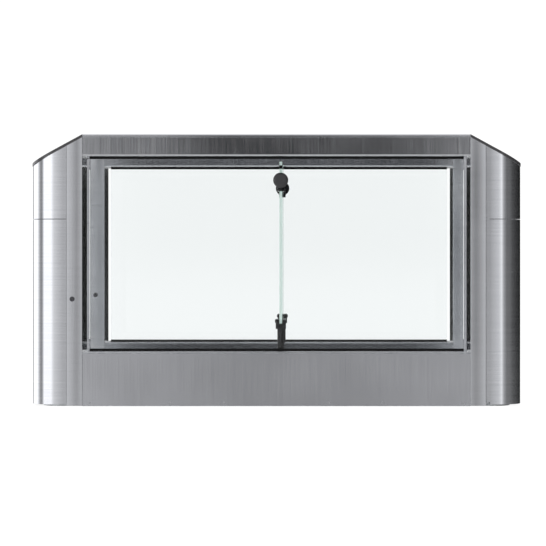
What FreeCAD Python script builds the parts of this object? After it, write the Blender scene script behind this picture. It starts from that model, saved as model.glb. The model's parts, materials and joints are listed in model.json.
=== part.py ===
import FreeCAD, Part
import math
import os
from FreeCAD import Vector

# Swing-leaf lane gate: two stainless cabinets with half-round ends stand either side of a lane,
# and each swings a glass leaf into it. Millimetres, +Z up. The origin is on the floor, in the
# middle of the lane. X runs along the lane, cabinet a stands at -Y and cabinet b at +Y.
# A tower is drawn once, for the +X end of a cabinet, with u = X and v = Y measured from the
# cabinet's own centre. The -X tower is the same one turned half a turn about Z.
# The leaf and its drive are drawn once, for cabinet a, and turned half a turn for cabinet b.

# ---- Cabinets -------------------------------------------------------------------------------
cabinet_length = 1810.0
cabinet_height = 1000.0
cabinet_thickness = 160.0
lane_pitch = 810.0            # centre plane of one cabinet to centre plane of the other
tower_length = 191.0          # inner face of a post to the tip of the round end
strip_width = 55.8            # flat strip of the post between the opening and the round end
seam = 2.0                    # open joint between the strip and the round shells
sheet = 2.0                   # stainless sheet
post_lip = 3.8                # strip edge past the post's closing wall
floor_gap = 2.0               # skirt clearance of posts and side panels
panel_gap = 0.5               # end gap between a panel and a post

# ---- Sloped caps ----------------------------------------------------------------------------
cap_drop = 104.0              # fall of the cap's top over the tower's length
cap_thickness = 9.5
cap_overhang = 2.0
reader_length = 92.0          # measured level, along the tower
reader_width = 92.0
reader_depth = 18.0
reader_gap = 4.0              # past the post's closing wall

# ---- Top beam -------------------------------------------------------------------------------
beam_height = 80.0
beam_edge_radius = 3.5
top_plate_height = 11.0
top_groove = 1.5
top_leg_depth = 14.0
leg_gap = 0.3
plate_edge_radius = 1.2

# ---- Lower box ------------------------------------------------------------------------------
lower_box_height = 200.0
cover_thickness = 4.0
cover_groove = 2.5
rail_size = 16.0
rail_wall = 2.0
floor_channel_height = 30.0
floor_channel_wall = 3.0
panel_screw_places = (193.0, 391.0)   # from the middle
panel_screw_inset = 28.0      # outer screws from the post
panel_screw_height = 12.0
screw_radius = 2.5
screw_head_radius = 4.0
screw_head_height = 1.4
screw_length = 7.0
screw_clearance = 0.1

# ---- Base plates ----------------------------------------------------------------------------
base_thickness = 10.0
base_margin = 14.0            # outer face of the cabinet to the plate's edge
base_inset = 25.0             # round end's centre to the plate's own end centre
base_inner_reach = 54.0       # plate past the post's inner face, into the lower box
anchor_radius = 7.0
anchor_inner_offset = 24.0    # post's inner face to the holes inside the lower box
anchor_outer_offset = 98.0    # post's inner face to the holes under the round end
anchor_spacing_v = 80.0
grommet_offset = 76.0
grommet_radius = 16.0
grommet_bore = 10.0
grommet_flange_radius = 20.0
grommet_flange = 3.0

# ---- Doors of the round ends ----------------------------------------------------------------
door_bottom = 6.0
door_seam_height = 688.0      # level of the joint between door and upper shell
door_seam = 2.0
hinge_depth = 6.0             # hinge axis in from the outer face
hinge_offset = 5.2            # hinge axis past the door's edge
hinge_pin_radius = 3.0
running_clearance = 0.05
free_gap = 0.3                # gap between faces that pass each other
lug_thickness = 3.5
lug_reach = 15.0
lug_depth = 12.0
lug_drop = 0.5
bracket_thickness = 4.0
bracket_reach = 6.0
pin_overrun = 2.0
notch_width = 14.0
notch_height = 8.0
upper_shelf_rise = 2.0        # shelf of the upper shell above its lower edge
shelf_skin = 2.0

# ---- Cam locks ------------------------------------------------------------------------------
lock_offset = 37.0            # lock axis from the post's inner face
lock_height = 394.0
bezel_radius = 9.5
bezel_height = 2.0
barrel_radius = 8.0
barrel_length = 10.0
barrel_clearance = 0.2
lock_nut_radius = 11.0
lock_nut_height = 4.0
plug_radius = 5.0
key_slot_width = 1.4
key_slot_length = 6.5
key_slot_depth = 2.0
cam_thickness = 3.0
cam_width = 12.0
cam_length = 33.0
cam_slot_margin = 2.5
tongue_thickness = 2.0
tongue_low = 15.0             # tongue above the lock axis
tongue_height = 16.0
tongue_back = 8.0             # tongue past the lock axis, away from the door
tongue_root = 4.0

# ---- Infill glass ---------------------------------------------------------------------------
infill_thickness = 10.0
infill_side_gap = 19.0
glass_channel_half = 12.0
glass_channel_depth = 36.0
glass_channel_floor = 5.0
glass_side_clearance = 0.4
top_glass_clearance = 8.0
gasket_half = 9.0
gasket_lower_proud = 8.0
gasket_upper_proud = 7.0

# ---- Leaf -----------------------------------------------------------------------------------
leaf_x = 15.0                 # leaf axis along the lane
leaf_setback = 45.0           # leaf axis from the cabinet's centre plane
leaf_thickness = 10.0
leaf_middle_gap = 40.0        # between the free edges of the two leaves
leaf_bottom = 300.0
leaf_top = 905.0
leaf_overrun = 10.0           # glass behind the axis
leaf_corner_radius = 40.0
post_radius = 13.0
post_foot_radius = 10.0
post_spigot_radius = 8.0
post_spigot_height = 12.0
post_hole_clearance = 2.0
clamp_bottom = 280.0
clamp_top = 316.0
clamp_half_width = 19.0
clamp_length = 60.0
clamp_edge_radius = 3.0
clamp_recess_radius = 5.0
clamp_recess_depth = 6.0
clamp_recess_height = 293.5
clamp_screw_places = (8.0, 44.0)
clamp_screw_height = 308.0
clamp_screw_radius = 4.0
clamp_head_radius = 6.5
clamp_head_height = 3.0
glass_hole_clearance = 2.0
glass_fit = 0.3               # liner space beside the leaf glass

# ---- Upper pivot ----------------------------------------------------------------------------
pivot_height = 834.0
pivot_disc_radius = 28.0
pivot_disc_thickness = 6.0
pivot_dome_height = 4.0
pivot_stud_radius = 8.0
pivot_stud_hole = 10.0
pivot_stud_length = 4.0
pivot_arm_radius = 9.0
eye_radius = 12.0
eye_height = 24.0
pivot_pin_radius = 6.0
pivot_pin_inset = 2.0
press_clearance = 0.02
hinge_low = 795.0
hinge_high = 862.0
hinge_half_width = 13.0
hinge_length = 58.0
hinge_gap_radius = 18.0
hinge_glass_edge = 22.0
hinge_notch_margin = 5.0
hinge_screw_place = 42.0
hinge_screw_inset = 12.0
hinge_screw_radius = 5.0
hinge_screw_height = 1.5
clip_low = 878.0
clip_high = 891.0
clip_wall = 1.5
clip_reach = 14.0

# ---- Drive ----------------------------------------------------------------------------------
drive_ratio = 2.0             # motor pulley turns for one turn of the leaf
leaf_pulley_radius = 28.0
pulley_distance = 115.0
pulley_flange = 2.5
pulley_flange_thickness = 1.5
pulley_hub_radius = 20.0
pulley_hub_height = 5.0
belt_low = 152.0
belt_width = 16.0
belt_thickness = 2.5
belt_gap = 0.3
bracket_plate = 8.0
bracket_wall = 6.0
bracket_top = 146.0
bracket_v0 = 14.0
bracket_v1 = 74.0
bracket_end_margin = 46.0
bearing_outer_radius = 22.0
bearing_foot_outer_radius = 17.0
foot_gap = 1.0
motor_radius = 29.0
gearbox_radius = 26.0
gearbox_height = 50.0
motor_floor_gap = 4.0
shaft_radius = 6.0
shaft_seat = 10.0
shaft_hole = 8.0

# ---- Electronics ----------------------------------------------------------------------------
control_size = (30.0, 90.0, 180.0)
supply_size = (40.0, 80.0, 200.0)
electronics_low = 440.0
box_edge_radius = 2.0

# ---- Levels and places worked out from the values above --------------------------------------
half_t = cabinet_thickness / 2
inner_half = half_t - sheet
tip_u = cabinet_length / 2
inner_u = tip_u - tower_length
end_u = tip_u - half_t
strip_end = inner_u + strip_width
shell_start = strip_end + seam
wall_out = strip_end - post_lip
wall_in = wall_out - sheet
slope = cap_drop / tower_length
slope_angle = math.atan(slope)
beam_bottom = cabinet_height - beam_height
beam_top = cabinet_height - top_plate_height - top_groove
cover_bottom = lower_box_height - cover_thickness
panel_length = inner_u - panel_gap
hinge_u = shell_start + hinge_offset
hinge_v = -(half_t - hinge_depth)
door_top = door_seam_height - door_seam / 2
upper_bottom = door_seam_height + door_seam / 2
shelf_bottom = upper_bottom + upper_shelf_rise
lock_u = inner_u + lock_offset
cam_outer_v = half_t - barrel_length - free_gap
cam_inner_v = cam_outer_v - cam_thickness
tongue_v = cam_outer_v + free_gap
infill_half = inner_u - infill_side_gap
channel_bottom = cover_bottom - glass_channel_depth
infill_bottom = channel_bottom + glass_channel_floor
beam_floor = beam_bottom + sheet
channel_top = beam_floor + glass_channel_depth
infill_top = channel_top - top_glass_clearance
axis_y = -(lane_pitch / 2 - leaf_setback)
leaf_length = -axis_y - leaf_middle_gap / 2
motor_pulley_radius = leaf_pulley_radius / drive_ratio
bracket_bottom = floor_channel_wall
motor_x = leaf_x - pulley_distance
bracket_underside = bracket_top - bracket_plate
motor_bottom = floor_channel_height + motor_floor_gap
FAR = 50.0                    # how far cutting shapes run past what they cut


# ---- Shape helpers --------------------------------------------------------------------------
def block(x0, x1, y0, y1, z0, z1):
    """Box between opposite corners."""
    return Part.makeBox(x1 - x0, y1 - y0, z1 - z0, Vector(x0, y0, z0))


def rod(radius, x, y, z0, z1):
    """Upright cylinder."""
    return Part.makeCylinder(radius, z1 - z0, Vector(x, y, z0), Vector(0, 0, 1))


def rod_y(radius, x, z, y0, y1):
    """Cylinder along Y."""
    return Part.makeCylinder(radius, y1 - y0, Vector(x, y0, z), Vector(0, 1, 0))


def rod_x(radius, y, z, x0, x1):
    """Cylinder along X."""
    return Part.makeCylinder(radius, x1 - x0, Vector(x0, y, z), Vector(1, 0, 0))


def ring(outer, bore, x, y, z0, z1):
    """Upright tube."""
    return rod(outer, x, y, z0, z1).cut(rod(bore, x, y, z0 - 1, z1 + 1))


def side_prism(points, y0, y1):
    """Polygon of (x, z) points extruded along Y."""
    wire = Part.makePolygon([Vector(x, y0, z) for x, z in points + points[:1]])
    return Part.Face(wire).extrude(Vector(0, y1 - y0, 0))


def round_ended(u0, half_width, z0, z1, centre_u):
    """Prism whose plan is a rectangle from u0 with a half-round end."""
    corners = [Vector(u0, half_width, z0), Vector(u0, -half_width, z0),
               Vector(centre_u, -half_width, z0), Vector(centre_u, half_width, z0)]
    tip = Vector(centre_u + half_width, 0, z0)
    edges = [Part.makeLine(corners[0], corners[1]), Part.makeLine(corners[1], corners[2]),
             Part.Arc(corners[2], tip, corners[3]).toShape(),
             Part.makeLine(corners[3], corners[0])]
    return Part.Face(Part.Wire(edges)).extrude(Vector(0, 0, z1 - z0))


def fillet_edges(shape, radius, wanted):
    """Fillet the edges for which wanted(edge) is true."""
    return shape.makeFillet(radius, [edge for edge in shape.Edges if wanted(edge)])


def runs_along(edge, axis):
    """True for a straight edge parallel to the axis (0, 1 or 2)."""
    if not isinstance(edge.Curve, Part.Line):
        return False
    return abs(abs(edge.tangentAt(edge.FirstParameter)[axis]) - 1.0) < 1e-6


def slope_height(u, depth=0.0):
    """Height of the cap's top plane at u, or of the plane that lies depth under it."""
    return cabinet_height - (u - inner_u) * slope - depth / math.cos(slope_angle)


def slope_slab(upper_depth, lower_depth, u0, u1, half_width):
    """Slab between two planes parallel to the cap's top."""
    points = [(u0, slope_height(u0, lower_depth)), (u1, slope_height(u1, lower_depth)),
              (u1, slope_height(u1, upper_depth)), (u0, slope_height(u0, upper_depth))]
    return side_prism(points, -half_width, half_width)


def above_cap_seat():
    """Everything over the plane that the cap lies on, at one tower."""
    u0, u1 = inner_u - FAR, tip_u + FAR
    top = slope_height(u0) + FAR
    points = [(u0, slope_height(u0, cap_thickness)), (u1, slope_height(u1, cap_thickness)),
              (u1, top), (u0, top)]
    return side_prism(points, -half_t - FAR, half_t + FAR)


# ---- Placing --------------------------------------------------------------------------------
CABINETS = {"a": -lane_pitch / 2, "b": lane_pitch / 2}
ENDS = {"exit": 0.0, "entry": 180.0}
Z_AXIS = Vector(0, 0, 1)


def at_cabinet(shape, cabinet):
    """Move a shape drawn about a cabinet's centre to that cabinet."""
    return shape.translated(Vector(0, CABINETS[cabinet], 0))


def at_tower(shape, cabinet, end):
    """Move a shape drawn for the +X tower to one tower of a cabinet."""
    turned = shape.copy()
    turned.rotate(Vector(0, 0, 0), Z_AXIS, ENDS[end])
    return at_cabinet(turned, cabinet)


def at_leaf(shape, cabinet):
    """Move a shape drawn for cabinet a's leaf to that leaf or its opposite."""
    turned = shape.copy()
    if cabinet == "b":
        turned.rotate(Vector(leaf_x, 0, 0), Z_AXIS, 180.0)
    return turned


def all_towers(shapes):
    """Copies of shapes at all four towers."""
    return [at_tower(shape, cabinet, end) for cabinet in CABINETS for end in ENDS
            for shape in shapes]


def both_cabinets(shapes):
    """Copies of shapes at both cabinets."""
    return [at_cabinet(shape, cabinet) for cabinet in CABINETS for shape in shapes]


def both_leaves(shapes):
    """Copies of shapes at both leaves."""
    return [at_leaf(shape, cabinet) for cabinet in CABINETS for shape in shapes]


# ---- Towers ---------------------------------------------------------------------------------
def round_shell(z0, z1):
    """Sheet that wraps the round end of a tower."""
    outer = round_ended(shell_start, half_t, z0, z1, end_u)
    return outer.cut(round_ended(shell_start - FAR, inner_half, z0 - 1, z1 + 1, end_u))


def post():
    """Folded upright with the flat strip on both faces and a closing wall inside."""
    body = block(inner_u, strip_end, -half_t, half_t, floor_gap, cabinet_height)
    body = body.cut(block(inner_u + sheet, wall_in, -inner_half, inner_half, 0, cabinet_height))
    body = body.cut(block(wall_out, strip_end + 1, -inner_half, inner_half, 0, cabinet_height))
    base_half = half_t - base_margin
    body = body.cut(block(inner_u - 1, wall_out + 1, -base_half - free_gap,
                          base_half + free_gap, 0, base_thickness))
    body = body.cut(rod_y(barrel_radius + barrel_clearance, lock_u, lock_height,
                          inner_half - 1, half_t + 1))
    body = body.cut(block(wall_in - 1, wall_out + 1, cam_inner_v - 2 * cam_thickness,
                          inner_half, lock_height - cam_width / 2 - cam_slot_margin,
                          lock_height + cam_length + cam_slot_margin))
    return body.cut(above_cap_seat())


def upper_shell():
    """Fixed round shell above the door, with the shelf that closes it below."""
    shelf = round_ended(wall_out, inner_half, shelf_bottom, shelf_bottom + shelf_skin, end_u)
    return round_shell(upper_bottom, cabinet_height).fuse(shelf).cut(above_cap_seat())


def cap():
    """Sloped plate over a tower."""
    half_width = half_t + cap_overhang
    plan = round_ended(inner_u, half_width, 0, cabinet_height + 1, end_u)
    slab = slope_slab(0, cap_thickness, inner_u - FAR, tip_u + FAR, half_width + FAR)
    body = plan.common(slab)
    top_edges = [edge for edge in body.Edges
                 if all(abs(v.Z - slope_height(v.X)) < 0.01 for v in edge.Vertexes)
                 and edge.BoundBox.XLength > 1]
    return body.makeFillet(plate_edge_radius, top_edges)


def reader_module():
    """Card reader fixed under the cap."""
    u0 = wall_out + reader_gap
    return slope_slab(cap_thickness, cap_thickness + reader_depth, u0, u0 + reader_length,
                      reader_width / 2)


def hinge_lug(z0):
    """Tab of the door that turns on a hinge pin."""
    lug = block(hinge_u - hinge_offset + free_gap, hinge_u + lug_reach, -inner_half,
                -inner_half + lug_depth, z0, z0 + lug_thickness)
    return lug.cut(rod(hinge_pin_radius + running_clearance, hinge_u, hinge_v, z0 - 1,
                       z0 + lug_thickness + 1))


def door():
    """Lower round shell, hinged on its -v edge and held by the cam lock on its +v edge."""
    shell = round_shell(door_bottom, door_top)
    shell = shell.cut(block(shell_start - 1, shell_start + notch_width, -half_t - 1,
                            -inner_half + 1, door_bottom - 1, door_bottom + notch_height))
    tongue = block(lock_u - tongue_back, shell_start + 2 * tongue_root, tongue_v,
                   tongue_v + tongue_thickness, lock_height + tongue_low,
                   lock_height + tongue_low + tongue_height)
    root = block(shell_start + tongue_root, shell_start + 2 * tongue_root, tongue_v, inner_half,
                 lock_height + tongue_low, lock_height + tongue_low + tongue_height)
    lower_lug = hinge_lug(door_bottom + notch_height)
    upper_lug = hinge_lug(door_top - lug_drop - lug_thickness)
    return shell.multiFuse([tongue, root, lower_lug, upper_lug]).removeSplitter()


def hinge_bracket(z0, z1):
    """Plate on the post's closing wall that carries a hinge pin."""
    return block(wall_out, hinge_u + bracket_reach, -inner_half + free_gap,
                 -inner_half + lug_depth, z0, z1)


def door_pivots():
    """Lower and upper hinge brackets of a door, each with its pin."""
    lower_top = door_bottom + notch_height - free_gap
    lower = hinge_bracket(lower_top - bracket_thickness, lower_top)
    lower = lower.fuse(rod(hinge_pin_radius, hinge_u, hinge_v, lower_top - bracket_thickness,
                           door_bottom + notch_height + lug_thickness + pin_overrun))
    upper_low = door_top + free_gap
    upper = hinge_bracket(upper_low, shelf_bottom)
    upper = upper.fuse(rod(hinge_pin_radius, hinge_u, hinge_v,
                           door_top - lug_drop - lug_thickness - pin_overrun, shelf_bottom))
    return [lower, upper]


def lock_housing():
    """Bezel, barrel and nut of a cam lock, bored for the plug."""
    body = rod_y(bezel_radius, lock_u, lock_height, half_t, half_t + bezel_height)
    body = fillet_edges(body, bezel_height / 3,
                        lambda edge: edge.BoundBox.YMin > half_t + bezel_height - 0.01)
    barrel = rod_y(barrel_radius, lock_u, lock_height, half_t - barrel_length, half_t)
    nut = rod_y(lock_nut_radius, lock_u, lock_height, inner_half - lock_nut_height, inner_half)
    body = body.multiFuse([barrel, nut])
    return body.cut(rod_y(plug_radius + running_clearance, lock_u, lock_height,
                          half_t - barrel_length - 1, half_t + bezel_height + 1))


def lock_plug():
    """Turning plug with its key slot and the cam on its inner end."""
    face_v = half_t + bezel_height - free_gap
    body = rod_y(plug_radius, lock_u, lock_height, cam_inner_v, face_v)
    slot = block(lock_u - key_slot_width / 2, lock_u + key_slot_width / 2,
                 face_v - key_slot_depth, face_v + 1, lock_height - key_slot_length / 2,
                 lock_height + key_slot_length / 2)
    arm = block(lock_u - cam_width / 2, lock_u + cam_width / 2, cam_inner_v, cam_outer_v,
                lock_height, lock_height + cam_length - cam_width / 2)
    ends = [rod_y(cam_width / 2, lock_u, z, cam_inner_v, cam_outer_v)
            for z in (lock_height, lock_height + cam_length - cam_width / 2)]
    return body.multiFuse([arm] + ends).cut(slot)


def base_plate():
    """Floor plate of a tower with four anchor holes and a cable hole."""
    half_width = half_t - base_margin
    centre = end_u - base_inset
    body = round_ended(inner_u - base_inner_reach, half_width, 0, base_thickness, centre)
    for offset in (-anchor_inner_offset, anchor_outer_offset):
        for v in (-anchor_spacing_v / 2, anchor_spacing_v / 2):
            body = body.cut(rod(anchor_radius, inner_u + offset, v, -1, base_thickness + 1))
    return body.cut(rod(grommet_radius, inner_u + grommet_offset, 0, -1, base_thickness + 1))


def cable_grommet():
    """Rubber bush in the cable hole of a base plate."""
    u = inner_u + grommet_offset
    body = rod(grommet_radius - running_clearance, u, 0, floor_gap, base_thickness)
    body = body.fuse(rod(grommet_flange_radius, u, 0, base_thickness,
                         base_thickness + grommet_flange))
    return body.cut(rod(grommet_bore, u, 0, 0, base_thickness + grommet_flange + 1))


def electronics_box(size):
    """Closed enclosure screwed to the outer side of a post's closing wall."""
    depth, width, height = size
    body = block(wall_out, wall_out + depth, -width / 2, width / 2, electronics_low,
                 electronics_low + height)
    return fillet_edges(body, box_edge_radius, lambda edge: edge.BoundBox.XMin > wall_out + 1)


# ---- Beam, lower box and infill -------------------------------------------------------------
def top_beam():
    """Channel between the posts, open at the top and slotted below for the glass."""
    body = block(-panel_length, panel_length, -half_t, half_t, beam_bottom, beam_top)
    body = fillet_edges(body, beam_edge_radius,
                        lambda edge: runs_along(edge, 0) and edge.BoundBox.ZMax < beam_top - 1)
    body = body.cut(block(-tip_u, tip_u, -inner_half, inner_half, beam_floor, beam_top + 1))
    return body.cut(block(-infill_half - free_gap, infill_half + free_gap, -gasket_half,
                          gasket_half, beam_bottom - 1, beam_floor + 1))


def top_plate():
    """Lid of the top beam, with legs that reach down inside the beam."""
    bottom = cabinet_height - top_plate_height
    body = block(-panel_length, panel_length, -half_t, half_t, bottom, cabinet_height)
    body = fillet_edges(body, plate_edge_radius,
                        lambda edge: runs_along(edge, 0) and edge.BoundBox.ZMin > bottom + 1)
    body = body.cut(block(-tip_u, tip_u, -inner_half, inner_half, bottom - 1,
                          cabinet_height - sheet))
    leg_outer = inner_half - leg_gap
    for side in (-1, 1):
        v0, v1 = sorted((side * (leg_outer - sheet), side * leg_outer))
        body = body.fuse(block(-panel_length, panel_length, v0, v1, beam_top - top_leg_depth,
                               cabinet_height - sheet))
    return body


def side_panels():
    """Front and back skins of the lower box."""
    panels = []
    for side in (-1, 1):
        v0, v1 = sorted((side * inner_half, side * half_t))
        panel = block(-panel_length, panel_length, v0, v1, floor_gap,
                      cover_bottom - cover_groove)
        for u in screw_places():
            panel = panel.cut(rod_y(screw_radius + screw_clearance, u, panel_screw_height,
                                    v0 - 1, v1 + 1))
        panels.append(panel)
    return panels


def screw_places():
    """Places of the panel screws along a cabinet."""
    places = panel_screw_places + (inner_u - panel_screw_inset,)
    return [side * u for u in places for side in (-1, 1)]


def panel_screws():
    """Button-head screws along the foot of both side panels."""
    screws = []
    for u in screw_places():
        for side in (-1, 1):
            head0, head1 = sorted((side * half_t, side * (half_t + screw_head_height)))
            shank0, shank1 = sorted((side * (half_t - screw_length), side * half_t))
            head = rod_y(screw_head_radius, u, panel_screw_height, head0, head1)
            shank = rod_y(screw_radius, u, panel_screw_height, shank0, shank1)
            screws.append(head.fuse(shank))
    return screws


def lower_cover():
    """Plate over the lower box, slotted for the glass and bored for the leaf post."""
    body = block(-panel_length, panel_length, -half_t, half_t, cover_bottom, lower_box_height)
    body = fillet_edges(body, plate_edge_radius,
                        lambda edge: runs_along(edge, 0) and edge.BoundBox.ZMin > cover_bottom + 1)
    return body.cut(block(-infill_half - free_gap, infill_half + free_gap, -gasket_half,
                          gasket_half, cover_bottom - 1, lower_box_height + 1))


def bored_lower_cover(cabinet):
    """Lower cover in its cabinet, with the hole of that cabinet's leaf post."""
    hole = rod(post_radius + post_hole_clearance, leaf_x, axis_y, 0, lower_box_height + 1)
    return at_cabinet(lower_cover(), cabinet).cut(at_leaf(hole, cabinet))


def frame_rails():
    """Two square tubes from post to post that carry the cover and the panels.

    A rail is notched where a thicker leaf post would come nearer than its free space.
    """
    rails = []
    post_space = post_radius + post_hole_clearance
    notches = [rod(post_space, leaf_x, side * leaf_setback, 0, lower_box_height)
               for side in (-1, 1)]
    for side in (-1, 1):
        v0, v1 = sorted((side * inner_half, side * (inner_half - rail_size)))
        tube = block(-inner_u, inner_u, v0, v1, cover_bottom - rail_size, cover_bottom)
        tube = tube.cut(block(-tip_u, tip_u, v0 + rail_wall, v1 - rail_wall,
                              cover_bottom - rail_size + rail_wall, cover_bottom - rail_wall))
        rails.append(tube.cut(notches))
    return rails


def floor_channel():
    """Open channel on the floor between the base plates."""
    body = block(-panel_length, panel_length, -inner_half, inner_half, 0, floor_channel_height)
    inside = inner_half - floor_channel_wall
    body = body.cut(block(-tip_u, tip_u, -inside, inside, floor_channel_wall,
                          floor_channel_height + 1))
    start = inner_u - base_inner_reach
    for u0, u1 in ((-tip_u, -start), (start, tip_u)):
        body = body.cut(block(u0, u1, -inside, inside, -1, floor_channel_wall + 1))
    for u in screw_places():
        body = body.cut(rod_y(screw_radius + screw_clearance, u, panel_screw_height,
                              -half_t, half_t))
    return body


def infill_glass():
    """Fixed pane, held in the beam and the lower box and free at its sides."""
    half = infill_thickness / 2
    body = block(-infill_half, infill_half, -half, half, infill_bottom, infill_top)
    return body.cut(rod_y(pivot_stud_hole, leaf_x, pivot_height, -half - 1, half + 1))


def glass_channels():
    """Clamping profiles of the pane, one in the lower box and one in the beam."""
    half = glass_channel_half
    slot = infill_thickness / 2 + glass_side_clearance
    lower = block(-infill_half, infill_half, -half, half, channel_bottom, cover_bottom)
    lower = lower.cut(block(-tip_u, tip_u, -slot, slot, infill_bottom, cover_bottom + 1))
    upper = block(-infill_half, infill_half, -half, half, beam_floor, channel_top)
    upper = upper.cut(block(-tip_u, tip_u, -slot, slot, beam_floor - 1,
                            infill_top + free_gap))
    return [lower, upper]


def glass_gaskets():
    """Black bead along the pane where it leaves the cover and the beam."""
    slot = infill_thickness / 2
    beads = []
    for z0, z1 in ((cover_bottom, lower_box_height + gasket_lower_proud),
                   (beam_bottom - gasket_upper_proud, beam_floor)):
        bead = block(-infill_half, infill_half, -gasket_half, gasket_half, z0, z1)
        beads.append(bead.cut(block(-tip_u, tip_u, -slot, slot, z0 - 1, z1 + 1)))
    return beads


# ---- Leaf -----------------------------------------------------------------------------------
def leaf_post():
    """Turning post from the foot bearing to the clamp head."""
    foot_top = bracket_bottom + bracket_plate + free_gap
    body = rod(post_radius, leaf_x, axis_y, foot_top, clamp_bottom)
    foot = rod(post_foot_radius, leaf_x, axis_y, floor_channel_wall + foot_gap, foot_top)
    spigot = rod(post_spigot_radius, leaf_x, axis_y, clamp_bottom,
                 clamp_bottom + post_spigot_height)
    return body.multiFuse([foot, spigot])


def clamp_head():
    """Block on the post that grips the lower edge of the leaf glass."""
    rear, front = axis_y - clamp_half_width, axis_y + clamp_length
    body = block(leaf_x - clamp_half_width, leaf_x + clamp_half_width, rear, front,
                 clamp_bottom, clamp_top)
    body = fillet_edges(body, clamp_edge_radius, lambda edge: runs_along(edge, 2))
    slot_half = leaf_thickness / 2 + glass_fit
    body = body.cut(block(leaf_x - slot_half, leaf_x + slot_half, rear - 1, front + 1,
                          leaf_bottom, clamp_top + 1))
    body = body.cut(rod(post_spigot_radius + press_clearance, leaf_x, axis_y, clamp_bottom - 1,
                        clamp_bottom + post_spigot_height))
    body = body.cut(rod_y(clamp_recess_radius, leaf_x, clamp_recess_height, rear - 1,
                          rear + clamp_recess_depth))
    for place in clamp_screw_places:
        body = body.cut(rod_x(clamp_screw_radius, axis_y + place, clamp_screw_height,
                              leaf_x - FAR, leaf_x + FAR))
    return body.removeSplitter()


def leaf_glass():
    """Swinging pane, notched at the upper hinge and rounded at its free corners."""
    x0, x1 = leaf_x - leaf_thickness / 2, leaf_x + leaf_thickness / 2
    free_edge = axis_y + leaf_length
    body = block(x0, x1, axis_y - leaf_overrun, free_edge, leaf_bottom, leaf_top)
    body = fillet_edges(body, leaf_corner_radius,
                        lambda edge: runs_along(edge, 0) and edge.BoundBox.YMin > free_edge - 1)
    body = body.cut(block(x0 - 1, x1 + 1, axis_y - leaf_overrun - 1, axis_y + hinge_glass_edge,
                          hinge_low - hinge_notch_margin, hinge_high + hinge_notch_margin))
    for place in clamp_screw_places:
        body = body.cut(rod_x(clamp_screw_radius + glass_hole_clearance, axis_y + place,
                              clamp_screw_height, x0 - 1, x1 + 1))
    return body


def leaf_hinge():
    """Upper hinge body: knuckles on the pivot pin and jaws on both sides of the glass."""
    body = block(leaf_x - hinge_half_width, leaf_x + hinge_half_width, axis_y,
                 axis_y + hinge_length, hinge_low, hinge_high)
    body = body.fuse(rod(hinge_half_width, leaf_x, axis_y, hinge_low, hinge_high))
    half = eye_height / 2 + free_gap
    body = body.cut(rod(hinge_gap_radius, leaf_x, axis_y, pivot_height - half,
                        pivot_height + half))
    slot_half = leaf_thickness / 2 + glass_fit
    body = body.cut(block(leaf_x - slot_half, leaf_x + slot_half, axis_y + hinge_glass_edge,
                          axis_y + hinge_length + 1, hinge_low - 1, hinge_high + 1))
    return body.cut(rod(pivot_pin_radius + running_clearance, leaf_x, axis_y, hinge_low - 1,
                        hinge_high + 1)).removeSplitter()


def leaf_fixings():
    """Through screws of the clamp, screws of the hinge jaws and the clip on the glass edge."""
    pieces = []
    for place in clamp_screw_places:
        reach = clamp_half_width + clamp_head_height
        screw = rod_x(clamp_screw_radius - press_clearance, axis_y + place, clamp_screw_height,
                      leaf_x - reach, leaf_x + reach)
        for x0, x1 in ((-reach, -clamp_half_width), (clamp_half_width, reach)):
            screw = screw.fuse(rod_x(clamp_head_radius, axis_y + place, clamp_screw_height,
                                     leaf_x + x0, leaf_x + x1))
        pieces.append(screw)
    for z in (hinge_low + hinge_screw_inset, hinge_high - hinge_screw_inset):
        for x0, x1 in ((-hinge_half_width - hinge_screw_height, -hinge_half_width),
                       (hinge_half_width, hinge_half_width + hinge_screw_height)):
            pieces.append(rod_x(hinge_screw_radius, axis_y + hinge_screw_place, z,
                                leaf_x + x0, leaf_x + x1))
    half = leaf_thickness / 2
    back = axis_y - leaf_overrun
    clip = block(leaf_x - half - clip_wall, leaf_x + half + clip_wall, back - clip_wall,
                 back + clip_reach, clip_low, clip_high)
    pieces.append(clip.cut(block(leaf_x - half, leaf_x + half, back, back + clip_reach + 1,
                                 clip_low - 1, clip_high + 1)))
    return pieces


def pivot_arm():
    """Inner disc on the pane, with its stud through the glass and the arm to the eye."""
    centre_y = -lane_pitch / 2
    face = centre_y + infill_thickness / 2
    body = rod_y(pivot_disc_radius, leaf_x, pivot_height, face, face + pivot_disc_thickness)
    body = fillet_edges(body, 2.0, lambda edge: edge.BoundBox.YMin > face + 1)
    stud_end = centre_y - infill_thickness / 2 - pivot_stud_length
    stud = rod_y(pivot_stud_radius, leaf_x, pivot_height, stud_end, face)
    arm = rod_y(pivot_arm_radius, leaf_x, pivot_height, face, axis_y)
    eye = rod(eye_radius, leaf_x, axis_y, pivot_height - eye_height / 2,
              pivot_height + eye_height / 2)
    body = body.multiFuse([stud, arm, eye])
    return body.cut(rod(pivot_pin_radius + press_clearance, leaf_x, axis_y,
                        pivot_height - eye_height, pivot_height + eye_height))


def pivot_disc():
    """Domed outer disc, screwed onto the stud from the other side of the pane."""
    face = -lane_pitch / 2 - infill_thickness / 2
    rim = face - pivot_disc_thickness
    body = rod_y(pivot_disc_radius, leaf_x, pivot_height, rim, face)
    radius = (pivot_disc_radius ** 2 + pivot_dome_height ** 2) / (2 * pivot_dome_height)
    ball = Part.makeSphere(radius, Vector(leaf_x, rim - pivot_dome_height + radius,
                                          pivot_height))
    dome = ball.common(rod_y(pivot_disc_radius, leaf_x, pivot_height,
                             rim - 2 * pivot_dome_height, rim))
    hole = rod_y(pivot_stud_radius + press_clearance, leaf_x, pivot_height,
                 face - pivot_stud_length, face + 1)
    return body.fuse(dome).cut(hole)


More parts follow.
